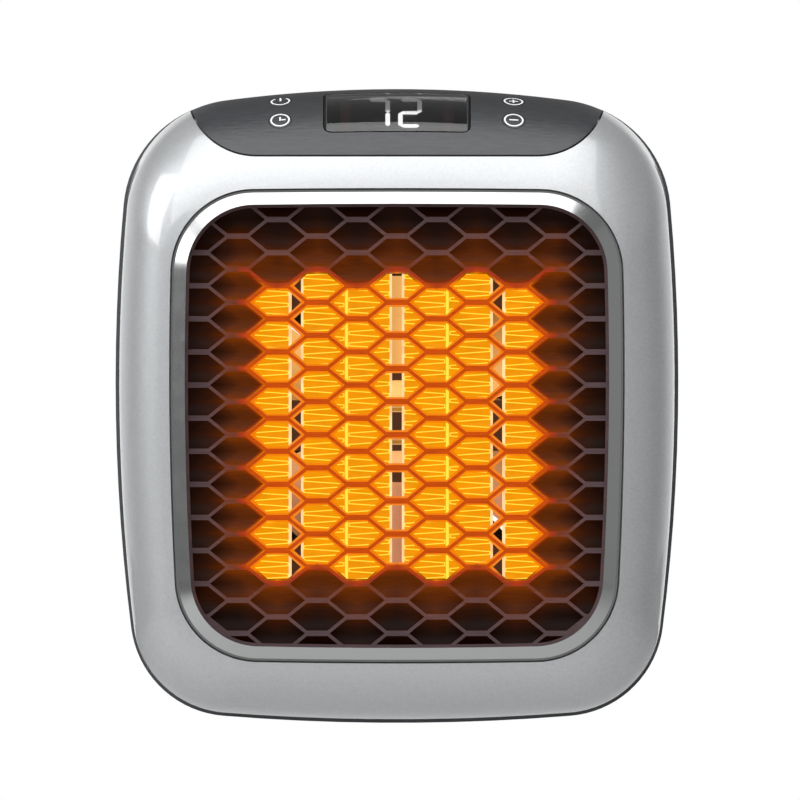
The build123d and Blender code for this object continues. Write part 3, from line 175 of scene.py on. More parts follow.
class HeaterSigns(bpy.types.PropertyGroup):
    """Signs printed on the keys and on the rocker."""

    radius: length_setting("Ring radius", "Outer radius of a sign's ring", 2.4 * mm)
    stroke: length_setting("Stroke", "Width of a printed line", 0.42 * mm)
    film: length_setting("Film", "Thickness of the print", 0.02 * mm)
    steps: IntProperty(name="Steps", description="Steps round a sign's ring", default=48, min=12, max=128)
    bar_steps: IntProperty(
        name="Bar steps", description="Steps along a straight stroke", default=6, min=1, max=32
    )
    mark_rise: length_setting(
        "Mark height", "From the rocker's middle to each of its marks", 4.4 * mm
    )
    ink: colour_setting("Ink", "Colour of the printed signs", "#D5D7DA")


class HeaterStage(bpy.types.PropertyGroup):
    """Camera, lamps and floor."""

    distance: length_setting("Camera distance", "From the lens to the front", 3.0)
    focal: FloatProperty(
        name="Focal length", description="Focal length of the lens in millimetres", default=555.4,
        unit="CAMERA",
    )
    aim_x: length_setting("Aim X", "How far right of the plug the camera looks", 0.75 * mm)
    aim_z: length_setting("Aim Z", "How far above the plug the camera looks", 1.47 * mm)
    floor: length_setting("Outlet height", "Height of the plug above the floor", 0.4)
    top: power_setting("Top lamp", "Power of the top lamp in watts", 33)
    left: power_setting("Left lamp", "Power of the left lamp in watts", 18)
    right: power_setting("Right lamp", "Power of the right lamp in watts", 0.5)
    rear: power_setting("Rear lamp", "Power of the rear lamp in watts", 8)
    sky: power_setting("Sky", "Strength of the light from all round", 0.33)


def add(tree, kind, sockets=None, out=0, stops=(), **settings):
    """Add a node with its settings and colour stops, set or link its inputs, and return one output."""
    made = tree.nodes.new(kind)
    for name, value in settings.items():
        setattr(made, name, value)
    for name, value in (sockets or {}).items():
        if isinstance(value, bpy.types.NodeSocket):
            tree.links.new(value, made.inputs[name])
        else:
            made.inputs[name].default_value = value
    if stops:
        elements = made.color_ramp.elements
        while len(elements) < len(stops):
            elements.new(1)
        for element, (position, colour) in zip(elements, stops):
            element.position = position
            element.color = colour
    return made.outputs[out] if made.outputs else made


def material(name, **sockets):
    """New material with one Principled shader, and its node tree."""
    made = bpy.data.materials.new(name)
    made.use_nodes = True
    tree = made.node_tree
    shader = tree.nodes["Principled BSDF"]
    for socket, value in sockets.items():
        shader.inputs[socket.replace("_", " ")].default_value = value
    return made, tree, shader


def feed(shader, **patterns):
    """Link patterns to the shader's sockets."""
    for socket, pattern in patterns.items():
        shader.id_data.links.new(pattern, shader.inputs[socket.replace("_", " ")])


def emit(shader, colour, power):
    """Send a colour pattern out as light."""
    feed(shader, Emission_Color=colour)
    shader.inputs["Emission Strength"].default_value = power


def along(tree, axis):
    """Object coordinate along one axis."""
    spot = add(tree, "ShaderNodeTexCoord", out="Object")
    return add(tree, "ShaderNodeSeparateXYZ", {0: spot}, out=axis)


def from_middle(tree, axis):
    """Distance from the object's middle along one axis."""
    return add(tree, "ShaderNodeMath", {0: along(tree, axis)}, operation="ABSOLUTE")


def share_along(tree, axis, start, end):
    """0 where an object coordinate is at start, and 1 where it is at end."""
    sockets = {"Value": along(tree, axis), "From Min": start, "From Max": end}
    return add(tree, "ShaderNodeMapRange", sockets)


def grain(tree, width, detail=2.0, stretch=(1, 1, 1)):
    """Noise whose patches are about this wide, and this many times as long each way."""
    spot = add(tree, "ShaderNodeTexCoord", out="Object")
    shorter = [1 / times for times in stretch]
    spot = add(tree, "ShaderNodeVectorMath", {0: spot, 1: shorter}, operation="MULTIPLY")
    sockets = {"Vector": spot, "Scale": 1 / (2 * width), "Detail": detail, "Roughness": 0.6}
    return add(tree, "ShaderNodeTexNoise", sockets)


def patches(tree, low, high, width, stretch=(1, 1, 1)):
    """Colour that wanders between two others over patches of this width."""
    stops = ((0.3, low), (0.7, high))
    return add(tree, "ShaderNodeValToRGB", {"Fac": grain(tree, width, stretch=stretch)}, stops=stops)


def mottled(tree, colour, width, change, stretch=(1, 1, 1)):
    """Colour that varies a little over patches of this width."""
    return patches(tree, shade(colour, 1 - change), shade(colour, 1 + change), width, stretch)


def wave(tree, value, start, pitch, height):
    """Triangle wave: 0 at start and every pitch from it, and height half way between."""
    moved = add(tree, "ShaderNodeMath", {0: value, 1: start}, operation="SUBTRACT")
    folded = add(tree, "ShaderNodeMath", {0: moved, 1: pitch / 2}, operation="PINGPONG")
    return add(tree, "ShaderNodeMath", {0: folded, 1: height * 2 / pitch}, operation="MULTIPLY")


def from_lit_cells(tree, glow):
    """Distance in the grille's plane from the outline of its lit cells, in metres."""
    across = along(tree, "X")
    height = along(tree, "Z")
    teeth = wave(tree, height, glow.first_row, glow.row, glow.tooth)
    sideways = add(tree, "ShaderNodeMath", {0: from_middle(tree, "X"), 1: teeth}, operation="ADD")
    sideways = add(tree, "ShaderNodeMath", {0: sideways, 1: glow.half_width}, operation="SUBTRACT")
    steps = wave(tree, across, 0, 2 * glow.column, glow.row / 2)
    upright = add(tree, "ShaderNodeMath", {0: height, 1: glow.middle}, operation="SUBTRACT")
    upright = add(tree, "ShaderNodeMath", {0: upright, 1: steps}, operation="ADD")
    upright = add(tree, "ShaderNodeMath", {0: upright}, operation="ABSOLUTE")
    upright = add(tree, "ShaderNodeMath", {0: upright, 1: glow.half_height}, operation="SUBTRACT")
    both = add(tree, "ShaderNodeCombineXYZ", {"X": sideways, "Y": upright})
    both = add(tree, "ShaderNodeVectorMath", {0: both, 1: (0, 0, 0)}, operation="MAXIMUM")
    return add(tree, "ShaderNodeVectorMath", {0: both}, out="Value", operation="LENGTH")


def near_core(tree, glow, reach):
    """0 over the lit cells, 1 at this reach from them, and no more beyond."""
    sockets = {0: from_lit_cells(tree, glow), 1: reach}
    return add(tree, "ShaderNodeMath", sockets, operation="DIVIDE", use_clamp=True)


def dress(made, *nodes):
    """Give CAD nodes a material."""
    for name in nodes:
        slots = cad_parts[name].data.materials
        slots.clear()
        slots.append(made)


def new_piece(name, shape, made, body):
    """Object from a bmesh at the origin, with its material, riding on a body."""
    mesh = bpy.data.meshes.new(name)
    shape.to_mesh(mesh)
    shape.free()
    mesh.materials.append(made)
    piece = bpy.data.objects.new(name, mesh)
    bpy.context.scene.collection.objects.link(piece)
    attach(piece, body)
    return piece


def metal(name, code, roughness, width):
    """Plain metal whose roughness varies a little over patches of this width."""
    made, tree, shader = material(name, Base_Color=rgba(code), Metallic=1.0)
    feed(shader, Roughness=patches(tree, grey(roughness * 0.8), grey(roughness * 1.2), width))
    return made


def plain(name, code, roughness, width, change=0.08):
    """Opaque finish that isn't metal, with a slight mottle over patches of this width."""
    made, tree, shader = material(name, Roughness=roughness)
    feed(shader, Base_Color=mottled(tree, rgba(code), width, change))
    return made


def silver_paint(look):
    """Metallic paint on moulded ABS, sprayed: fine flakes under a thin clear coat.

    It gives the eye a soft grey that turns nearly white where it faces a lamp, with a faint sparkle.
    Real flakes are some ten times finer, and are drawn this coarse so that they show.
    """
    made, tree, shader = material(
        "silver_flake_paint", Metallic=0.55, Roughness=0.4, Coat_Weight=1.0, Coat_Roughness=0.06
    )
    sockets = {"Vector": add(tree, "ShaderNodeTexCoord", out="Object"), "Scale": 1 / look.flake}
    flakes = add(tree, "ShaderNodeTexVoronoi", sockets, out="Color", feature="F1")
    stops = ((0.0, shade(look.silver, 0.94)), (1.0, shade(look.silver, 1.06)))
    feed(shader, Base_Color=add(tree, "ShaderNodeValToRGB", {"Fac": flakes}, stops=stops))
    return made


def trim_plating(look):
    """Bright plated plastic, polished: a satin grey metal that mirrors the lamps in soft bands."""
    made, tree, shader = material("polished_trim_plating", Base_Color=look.trim, Metallic=1.0)
    cloudiness = 3 * mm
    stops = ((0.35, grey(0.12)), (0.65, grey(0.17)))
    feed(shader, Roughness=add(tree, "ShaderNodeValToRGB", {"Fac": grain(tree, cloudiness)}, stops=stops))
    return made


def ring_shape(look):
    """The ring with its face turned to slope outwards: highest at the window and lowest at the paint."""
    same_point = 0.001 * mm
    tolerance = 0.01 * mm
    sharp = math.radians(15)
    shape = bmesh.new()
    shape.from_mesh(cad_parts["trim_ring"].data)
    bmesh.ops.remove_doubles(shape, verts=shape.verts, dist=same_point)
    front = min(vert.co.y for vert in shape.verts)
    sloped = [vert for vert in shape.verts if vert.co.y < front + look.ring_slope + tolerance]
    for vert in sloped:
        vert.co.y = 2 * front + look.ring_slope - vert.co.y
    bmesh.ops.recalc_face_normals(shape, faces=shape.faces)
    for face in shape.faces:
        face.smooth = True
    for edge in shape.edges:
        edge.smooth = edge.calc_face_angle(0) < sharp
    return shape


def panel_plastic(look):
    """Black ABS moulded in a fine spark-eroded tool: a matt face that greys softly towards the light.

    Over the crown's top it turns duller, and a painted shade makes it darker, so that the panel ends nearly
    black. The grain is drawn a few times coarser than a real one, so that it shows.
    """
    made, tree, shader = material("grained_panel_abs", Specular_IOR_Level=0.65)
    streaks = (6, 1, 1)
    relief = 0.08 * mm
    turn, top = 0.55, 0.85
    low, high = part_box("control_panel")
    rise = share_along(tree, "Z", low[2], high[2])
    matt = add(tree, "ShaderNodeValToRGB", {"Fac": rise}, stops=((turn, grey(0.42)), (top, grey(0.7))))
    # Painted shade: the base colour darkens over the crown's top, to nearly black
    painted_falloff = add(tree, "ShaderNodeValToRGB", {"Fac": rise}, stops=((turn, grey(1)), (top, grey(0.4))))
    grained = mottled(tree, look.panel, look.panel_grain, 0.4, streaks)
    colour = add(tree, "ShaderNodeVectorMath", {0: grained, 1: painted_falloff}, operation="MULTIPLY")
    height = grain(tree, look.panel_grain, 3, streaks)
    normal = add(tree, "ShaderNodeBump", {"Height": height, "Strength": 1.0, "Distance": relief})
    feed(shader, Base_Color=colour, Roughness=matt, Normal=normal)
    return made


def shell_plastic(look):
    """Dark grey ABS with a coarse spark texture, moulded: matt, and even from every side.

    The texture is drawn a few times coarser than a real one, so that it shows.
    """
    made, tree, shader = material("spark_textured_shell_abs", Roughness=0.55)
    relief = 0.05 * mm
    height = grain(tree, look.spark, 3)
    normal = add(tree, "ShaderNodeBump", {"Height": height, "Strength": 1.0, "Distance": relief})
    feed(shader, Base_Color=mottled(tree, look.shell, look.spark, 0.15), Normal=normal)
    return made


class HEATER_OT_shells(bpy.types.Operator):
    """Paint the front shell, plate its ring and texture the rear shell"""

    bl_idname = "heater.shells"
    bl_label = "Shells"

    def execute(self, context):
        look = context.scene.heater_finish
        dress(silver_paint(look), "front_bezel")
        ring = new_piece("polished_ring", ring_shape(look), trim_plating(look), "housing")
        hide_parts("trim_ring")
        dress(shell_plastic(look), "rear_housing", "plug_base")
        return {"FINISHED"}


class HEATER_OT_panel(bpy.types.Operator):
    """Finish the control panel and its keys"""

    bl_idname = "heater.panel"
    bl_label = "Control panel"

    def execute(self, context):
        look = context.scene.heater_finish
        dress(panel_plastic(look), "control_panel", *key_signs)
        return {"FINISHED"}


def strokes_ring(shape, look, start, sweep):
    """Part of a ring, spun from one radial stroke."""
    nearly_round = math.radians(359)
    inner = look.radius - look.stroke
    turned = Matrix.Rotation(start, 4, "Z")
    ends = [shape.verts.new(turned @ Vector((radius, 0, 0))) for radius in (inner, look.radius)]
    stroke = shape.edges.new(ends)
    whole = abs(sweep) > nearly_round
    steps = max(3, round(look.steps * abs(sweep) / (2 * math.pi)))
    bmesh.ops.spin(
        shape, geom=[*ends, stroke], cent=(0, 0, 0), axis=(0, 0, 1), angle=sweep, steps=steps,
        use_merge=whole,
    )


def strokes_bar(shape, look, centre, length, upright):
    """Straight printed stroke."""
    grid = bmesh.ops.create_grid(shape, x_segments=look.bar_steps, y_segments=1, size=0.5)
    scale = Matrix.Diagonal((length, look.stroke, 1, 1))
    turned = Matrix.Rotation(math.pi / 2 if upright else 0, 4, "Z")
    shift = Matrix.Translation((*centre, 0))
    bmesh.ops.transform(shape, matrix=shift @ turned @ scale, verts=grid["verts"])


def clock_sign(shape, look):
    """Ring with two hands."""
    hand_share = 0.62
    hand = hand_share * (look.radius - look.stroke)
    half = look.stroke / 2
    strokes_ring(shape, look, 0, 2 * math.pi)
    strokes_bar(shape, look, (0, hand / 2 - half), hand + half, True)
    strokes_bar(shape, look, (hand / 2 + half, 0), hand - half, False)


def power_sign(shape, look):
    """Ring open at the top, with an upright stroke."""
    gap = math.radians(70)
    strokes_ring(shape, look, math.pi / 2 + gap / 2, 2 * math.pi - gap)
    strokes_bar(shape, look, (0, look.radius / 2), look.radius, True)


def sign_arm(look):
    """Length of the plus's and the minus's strokes."""
    arm_share = 1.1
    return arm_share * (look.radius - look.stroke)


def plus_sign(shape, look):
    """Ring round a plus."""
    arm = sign_arm(look)
    short = (arm - look.stroke) / 2
    strokes_ring(shape, look, 0, 2 * math.pi)
    strokes_bar(shape, look, (0, 0), arm, True)
    for side in (-1, 1):
        strokes_bar(shape, look, (side * (short + look.stroke) / 2, 0), short, False)


def minus_sign(shape, look):
    """Ring round a minus."""
    strokes_ring(shape, look, 0, 2 * math.pi)
    strokes_bar(shape, look, (0, 0), sign_arm(look), False)


key_signs = {
    "power_key": power_sign,
    "timer_key": clock_sign,
    "plus_key": plus_sign,
    "minus_key": minus_sign,
}


def board_frame(node):
    """Matrix from a flat drawing to the tilted plane above a node's centre."""
    clear = crown_radius * 1.5
    low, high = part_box(node)
    middle = (Vector(low) + Vector(high)) / 2
    rise = (middle - crown_line).dot(up_slope)
    origin = crown_line + up_slope * rise + Vector((middle.x, 0, 0)) + outward * clear
    turn = Matrix((Vector((1, 0, 0)), up_slope, outward)).transposed()
    return Matrix.Translation(origin) @ turn.to_4x4()


def lay_on(shape, node, film, away):
    """Drop a drawing onto a node, against the direction away from it, and give it its thickness."""
    surface = BVHTree.FromObject(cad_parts[node], bpy.context.evaluated_depsgraph_get())
    for vert in shape.verts:
        hit = surface.ray_cast(vert.co, -away)[0]
        if hit is None:
            raise RuntimeError(f"a sign's stroke misses {node}")
        vert.co = hit + away * film
    bmesh.ops.recalc_face_normals(shape, faces=shape.faces)
    bmesh.ops.solidify(shape, geom=shape.faces, thickness=film)


class HEATER_OT_signs(bpy.types.Operator):
    """Print the four signs on the keys"""

    bl_idname = "heater.signs"
    bl_label = "Key signs"

    def execute(self, context):
        look = context.scene.heater_signs
        # Pad-printed ink: an even, slightly matt pale grey
        ink, tree, shader = material("pad_printed_ink", Roughness=0.5)
        feed(shader, Base_Color=mottled(tree, look.ink, width=0.3 * mm, change=0.05))
        for node, draw in key_signs.items():
            shape = bmesh.new()
            draw(shape, look)
            bmesh.ops.transform(shape, matrix=board_frame(node), verts=shape.verts)
            lay_on(shape, node, look.film, outward)
            piece = new_piece(f"{node}_sign", shape, ink, node)
        return {"FINISHED"}


def on_mark(shape, look):
    """Stroke that marks the side pressed for on."""
    stroke_share = 1.3
    strokes_bar(shape, look, (0, 0), stroke_share * look.radius, True)


def off_mark(shape, look):
    """Ring that marks the side pressed for off."""
    ring_share = 0.6
    strokes_ring(shape, look, 0, 2 * math.pi)
    bmesh.ops.scale(shape, vec=(ring_share, ring_share, 1), verts=shape.verts)


def rocker_signs(look):
    """Upright stroke on the rocker's lower half, pressed in at rest, and a ring on its upper half."""
    clear = 10 * mm
    low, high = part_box("switch_rocker")
    middle = (Vector(low) + Vector(high)) / 2
    side = Vector((1, 0, 0))
    turn = Matrix((Vector((0, 1, 0)), Vector((0, 0, 1)), side)).transposed().to_4x4()
    shape = bmesh.new()
    for draw, up in ((on_mark, -1), (off_mark, 1)):
        mark = bmesh.new()
        draw(mark, look)
        shift = Matrix.Translation((high[0] + clear, middle.y, middle.z + up * look.mark_rise))
        bmesh.ops.transform(mark, matrix=shift @ turn, verts=mark.verts)
        lay_on(mark, "switch_rocker", look.film, side)
        flat = bpy.data.meshes.new("mark")
        mark.to_mesh(flat)
        mark.free()
        shape.from_mesh(flat)
        bpy.data.meshes.remove(flat)
    return shape


def smoked_window(look):
    """Smoked acrylic, polished, with a black line printed round its edge: clear enough for lit digits."""
    made, tree, shader = material("smoked_acrylic", IOR=1.49)
    line, solid = look.print_width, 0.8 * look.print_width
    low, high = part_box("display_lens")
    sockets = {"Value": from_middle(tree, "X"), "From Min": high[0] - line, "From Max": high[0] - solid}
    ends = add(tree, "ShaderNodeMapRange", sockets)
    foot = share_along(tree, "Z", low[2] + line, low[2] + solid)
    printed = add(tree, "ShaderNodeMath", {0: ends, 1: foot}, operation="MAXIMUM")
    patterns = {}
    for socket, clear, black in (
        ("Base_Color", rgba("#8A898A"), rgba("#050505")),
        ("Transmission_Weight", grey(1), grey(0)),
        ("Roughness", grey(0.03), grey(0.9)),
    ):
        stops = ((0.0, clear), (1.0, black))
        patterns[socket] = add(tree, "ShaderNodeValToRGB", {"Fac": printed}, stops=stops)
    feed(shader, **patterns)
    return made


def display_block():
    """Black display epoxy, cast: faintly brown where its walls show at either end."""
    made, tree, shader = material("display_epoxy", Roughness=0.35)
    half_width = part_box("display_module")[1][0]
    side = add(tree, "ShaderNodeMath", {0: from_middle(tree, "X"), 1: half_width}, operation="DIVIDE")
    stops = ((0.78, rgba("#2A2424")), (0.88, rgba("#7A4A38")), (1.0, rgba("#4A2C24")))
    body = add(tree, "ShaderNodeValToRGB", {"Fac": side}, stops=stops)
    fleck = patches(tree, grey(0.7), grey(1.3), width=1.5 * mm)
    feed(shader, Base_Color=add(tree, "ShaderNodeVectorMath", {0: body, 1: fleck}, operation="MULTIPLY"))
    return made


def lit_diffuser():
    """Milky diffuser, moulded and lit: white below, and dimmer above under a painted shade, where the eye
    meets it flat.
    """
    made, tree, shader = material("lit_diffuser", Base_Color=rgba("#E8E8EC"), Roughness=0.4)
    low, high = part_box("lit_segments")
    rise = share_along(tree, "Z", low[2], high[2])
    # Painted shade: the light dims from white to grey over the upper part
    stops = ((0.5, rgba("#FFFFFF")), (0.62, rgba("#6E6E70")))
    emit(shader, add(tree, "ShaderNodeValToRGB", {"Fac": rise}, stops=stops), power=4.0)
    return made


class HEATER_OT_display(bpy.types.Operator):
    """Smoke the window and light the digits behind it"""

    bl_idname = "heater.display"
    bl_label = "Display"

    def execute(self, context):
        dress(smoked_window(context.scene.heater_finish), "display_lens")
        dress(display_block(), "display_module")
        dress(lit_diffuser(), "lit_segments")
        # The same diffuser, unlit: nearly as dark as the block round it
        unlit = plain("unlit_diffuser", "#2C2A2B", roughness=0.4, width=1 * mm, change=0.1)
        dress(unlit, "dark_segments")
        return {"FINISHED"}


def grille_nylon(glow):
    """Heat-resistant black nylon, moulded: matt and finely streaked.

    It takes the hot core's light: orange on the ribs before the core, red round its outline, and brown
    in the closed cells beside it.
    """
    made, tree, shader = material("glowing_grille_nylon", Roughness=0.5, Specular_IOR_Level=0.06)
    depth = share_along(tree, "Y", grille_low[1], grille_high[1])
    share = near_core(tree, glow, glow.reach)
    streaks = patches(tree, grey(0.86), grey(1.14), width=0.2 * mm, stretch=(10, 1, 1))
    # Painted highlight on the ribs' front edges, and painted shade that darkens the closed cells towards
    # their floors
    stops = ((0.0, glow.painted_rib_glint), (0.08, glow.painted_rib_glint), (0.2, glow.cell), (1.0, shade(glow.cell, 0.5)))
    painted_glint_and_shade = add(tree, "ShaderNodeValToRGB", {"Fac": depth}, stops=stops)
    # Painted shade: the base colour darkens near the core, so that little of the room's light shows where
    # the core outshines it
    stops = (
        (0.0, (0.03, 0.02, 0.02, 1)), (0.06, (0.2, 0.15, 0.15, 1)), (0.3, (0.5, 0.42, 0.42, 1)),
        (0.6, grey(1)),
    )
    painted_shade_near_core = add(tree, "ShaderNodeValToRGB", {"Fac": share}, stops=stops)
    colour = add(tree, "ShaderNodeVectorMath", {0: painted_glint_and_shade, 1: streaks}, operation="MULTIPLY")
    colour = add(tree, "ShaderNodeVectorMath", {0: colour, 1: painted_shade_near_core}, operation="MULTIPLY")
    feed(shader, Base_Color=colour)
    # Painted glow of the core's light on the ribs' fronts: orange before the core, red round its outline,
    # dark further off
    stops = (
        (0.0, glow.painted_strut_glow), (0.02, shade(glow.painted_strut_glow, 0.75)), (0.05, rgba("#A83000")),
        (0.12, rgba("#70300E")), (0.3, rgba("#5E3426")), (0.6, rgba("#301E1C")), (1.0, grey(0)),
    )
    tips = add(tree, "ShaderNodeValToRGB", {"Fac": share}, stops=stops)
    # Painted glow of the core's light on the cells' walls: orange in the lit cells, brown in the closed
    # cells beside them, black far off
    stops = (
        (0.0, rgba("#EC7806")), (0.012, rgba("#D86400")), (0.04, rgba("#9A3000")), (0.08, glow.painted_haze_glow),
        (0.23, shade(glow.painted_haze_glow, 0.9)), (0.31, shade(glow.painted_haze_glow, 0.55)), (0.42, shade(glow.painted_haze_glow, 0.25)),
        (0.6, shade(glow.painted_haze_glow, 0.07)), (1.0, grey(0)),
    )
    walls = add(tree, "ShaderNodeValToRGB", {"Fac": share}, stops=stops)
    # Painted shade: the glow in the closed cells darkens towards their floors, and in the lit ones it
    # doesn't
    floor = add(tree, "ShaderNodeValToRGB", {"Fac": depth}, stops=((0.15, grey(1.2)), (0.7, grey(0.5))))
    lit = add(tree, "ShaderNodeValToRGB", {"Fac": share}, stops=((0.0, grey(1)), (0.02, grey(0))))
    floor = add(tree, "ShaderNodeVectorMath", {0: floor, 1: lit}, operation="MAXIMUM")
    walls = add(tree, "ShaderNodeVectorMath", {0: walls, 1: floor}, operation="MULTIPLY")
    stops = ((0.0, grey(0)), (0.02, grey(0)), (0.12, grey(1)))
    inside = add(tree, "ShaderNodeValToRGB", {"Fac": depth}, stops=stops)
    # For colours, the Mix node's two ends are its sockets 6 and 7, and its result is output 2
    light = add(tree, "ShaderNodeMix", {0: inside, 6: tips, 7: walls}, out=2, data_type="RGBA")
    light = add(tree, "ShaderNodeVectorMath", {0: light, 1: streaks}, operation="MULTIPLY")
    emit(shader, light, glow.power)
    return made


def holder_nylon(glow):
    """Black nylon, moulded and faintly streaked across, with the core's light painted on as a glow: brown
    near the core and black at the corners.
    """
    made, tree, shader = material("glowing_holder_nylon", Roughness=0.6, Specular_IOR_Level=0.35)
    streaks = (8, 1, 1)
    feed(shader, Base_Color=mottled(tree, rgba("#1A1616"), 0.3 * mm, 0.3, streaks))
    # Painted glow of the core's light, brown near the core and fading to black
    stops = (
        (0.0, glow.painted_haze_glow), (0.3, shade(glow.painted_haze_glow, 0.8)), (0.6, shade(glow.painted_haze_glow, 0.3)),
        (0.9, shade(glow.painted_haze_glow, 0.1)), (1.0, shade(glow.painted_haze_glow, 0.06)),
    )
    share = near_core(tree, glow, 1.6 * glow.reach)
    emit(shader, add(tree, "ShaderNodeValToRGB", {"Fac": share}, stops=stops), glow.power)
    return made


class HEATER_OT_grille(bpy.types.Operator):
    """Finish the grille and the holder behind it, lit by the core"""

    bl_idname = "heater.grille"
    bl_label = "Grille"

    def execute(self, context):
        glow = context.scene.heater_glow
        dress(grille_nylon(glow), "front_grille")
        dress(holder_nylon(glow), "core_holder", "core_end_caps")
        return {"FINISHED"}


def louvre_sheets(glow):
    """One thin sheet in each of the six fin stacks, a little behind their front edges."""
    shape = bmesh.new()
    height = core_high[2] - core_low[2]
    middle = (core_high[2] + core_low[2]) / 2
    for centre in glow.stacks:
        for side in (-1, 1):
            made = bmesh.ops.create_cube(shape, size=1)
            scale = Matrix.Diagonal((glow.stack_width, glow.louvre, height, 1))
            shift = Matrix.Translation((side * centre, core_low[1] + glow.set_back, middle))
            bmesh.ops.transform(shape, matrix=shift @ scale, verts=made["verts"])
    return shape


def hot_ribbon(glow):
    """Aluminium ribbon, rolled, folded and hot, with a painted glow: bright yellow on its front edges,
    orange down its faces.
    """
    made, tree, shader = material(
        "hot_aluminium_ribbon", Base_Color=rgba("#6A5030"), Metallic=0.6, Roughness=0.5
    )
    edge_depth = 1.5 * mm
    front = share_along(tree, "Y", core_low[1], core_low[1] + edge_depth)
    stops = ((0.1, glow.edge), (0.35, glow.fin))
    emit(shader, add(tree, "ShaderNodeValToRGB", {"Fac": front}, stops=stops), glow.power)
    return made


def ribbon_louvre(glow):
    """The same ribbon's louvres: an even orange painted glow that closes the view between the folds."""
    made, tree, shader = material(
        "hot_ribbon_louvre", Base_Color=rgba("#4A3010"), Roughness=0.7, Specular_IOR_Level=0.2
    )
    dull, bright = shade(glow.fin, 0.9), shade(glow.fin, 1.08)
    emit(shader, patches(tree, dull, bright, width=0.8 * mm, stretch=(3, 1, 1)), glow.power)
    return made


def heating_stone(glow):
    """Heating ceramic, pressed and fired, with a painted glow: orange, with a bright yellow line down the
    two inner strips.
    """
    made, tree, shader = material("hot_heating_stone", Roughness=0.7)
    feed(shader, Base_Color=mottled(tree, rgba("#6A5030"), width=1.5 * mm, change=0.1))
    off = add(
        tree, "ShaderNodeMath", {0: from_middle(tree, "X"), 1: glow.bright_strip}, operation="SUBTRACT"
    )
    off = add(tree, "ShaderNodeMath", {0: off}, operation="ABSOLUTE")
    off = add(tree, "ShaderNodeMath", {0: off, 1: mm}, operation="DIVIDE")
    stops = ((0.3, rgba("#FFE63C")), (0.4, glow.fin))
    emit(shader, add(tree, "ShaderNodeValToRGB", {"Fac": off}, stops=stops), glow.power)
    return made


def lit_plate(glow):
    """Aluminium plate at an air gap, rolled: cream edges in the core's light."""
    made, tree, shader = material("cream_lit_plate", Metallic=0.3, Roughness=0.4)
    feed(shader, Base_Color=mottled(tree, rgba("#7A6040"), width=1 * mm, change=0.1))
    emit(shader, patches(tree, rgba("#F0BE82"), rgba("#FFE6A8"), width=2 * mm), glow.power)
    return made


class HEATER_OT_core(bpy.types.Operator):
    """Heat the strips, fins and plates"""

    bl_idname = "heater.core"
    bl_label = "Heater core"

    def execute(self, context):
        glow = context.scene.heater_glow
        dress(hot_ribbon(glow), "heater_fins")
        new_piece("fin_louvres", louvre_sheets(glow), ribbon_louvre(glow), "housing")
        dress(heating_stone(glow), "heating_strips")
        dress(lit_plate(glow), "fin_plates")
        return {"FINISHED"}


def fan_plastic():
    """Ivory PBT, moulded, with the core's light painted on as a glow: warm, pinker low down, and fading
    towards the back.
    """
    made, tree, shader = material("ivory_fan_pbt", Roughness=0.45)
    feed(shader, Base_Color=mottled(tree, rgba("#E8D4B4"), width=2 * mm, change=0.08))
    low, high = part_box("fan_wheel")
    depth = share_along(tree, "Y", low[1], high[1])
    rise = share_along(tree, "Z", low[2], high[2])
    # Painted glow of the core's light: pinkish brown low down, warm higher up, and fading towards the back
    stops = ((0.25, rgba("#A87460")), (0.6, rgba("#DCA862")))
    painted_core_glow = add(tree, "ShaderNodeValToRGB", {"Fac": rise}, stops=stops)
    painted_falloff = add(tree, "ShaderNodeValToRGB", {"Fac": depth}, stops=((0.15, grey(1)), (0.85, grey(0))))
    emit(shader, add(tree, "ShaderNodeVectorMath", {0: painted_core_glow, 1: painted_falloff}, operation="MULTIPLY"), power=1.0)
    return made


def duct_nylon():
    """Black nylon, moulded, with the core's light painted on as a deep red glow where it faces the core."""
    made, tree, shader = material("black_duct_nylon", Roughness=0.6)
    feed(shader, Base_Color=mottled(tree, rgba("#1B1616"), width=1 * mm, change=0.08))
    low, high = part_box("fan_duct")
    depth = share_along(tree, "Y", low[1], high[1])
    # Painted glow: the core's light, deep red at the front and black further back
    stops = ((0.3, rgba("#340400")), (0.7, grey(0)))
    emit(shader, add(tree, "ShaderNodeValToRGB", {"Fac": depth}, stops=stops), power=1.0)
    return made


class HEATER_OT_fan(bpy.types.Operator):
    """Finish the fan, its duct and its motor"""

    bl_idname = "heater.fan"
    bl_label = "Fan and motor"

    def execute(self, context):
        dress(fan_plastic(), "fan_wheel", "motor_end_cap")
        dress(duct_nylon(), "fan_duct")
        # Zinc-plated steel, drawn: a cool grey with a fairly sharp shine
        steel = metal("zinc_plated_steel", "#A9ABAE", roughness=0.3, width=1 * mm)
        dress(steel, "motor_can", "motor_shaft")
        # Magnet, sintered: a dull dark grey
        dress(metal("sintered_magnet", "#4A4A4E", roughness=0.5, width=0.5 * mm), "motor_magnets")
        # Iron sheets, stamped and stacked: a brownish grey, half dull
        dress(metal("laminated_iron", "#6A6560", roughness=0.45, width=0.5 * mm), "motor_armature")
        return {"FINISHED"}


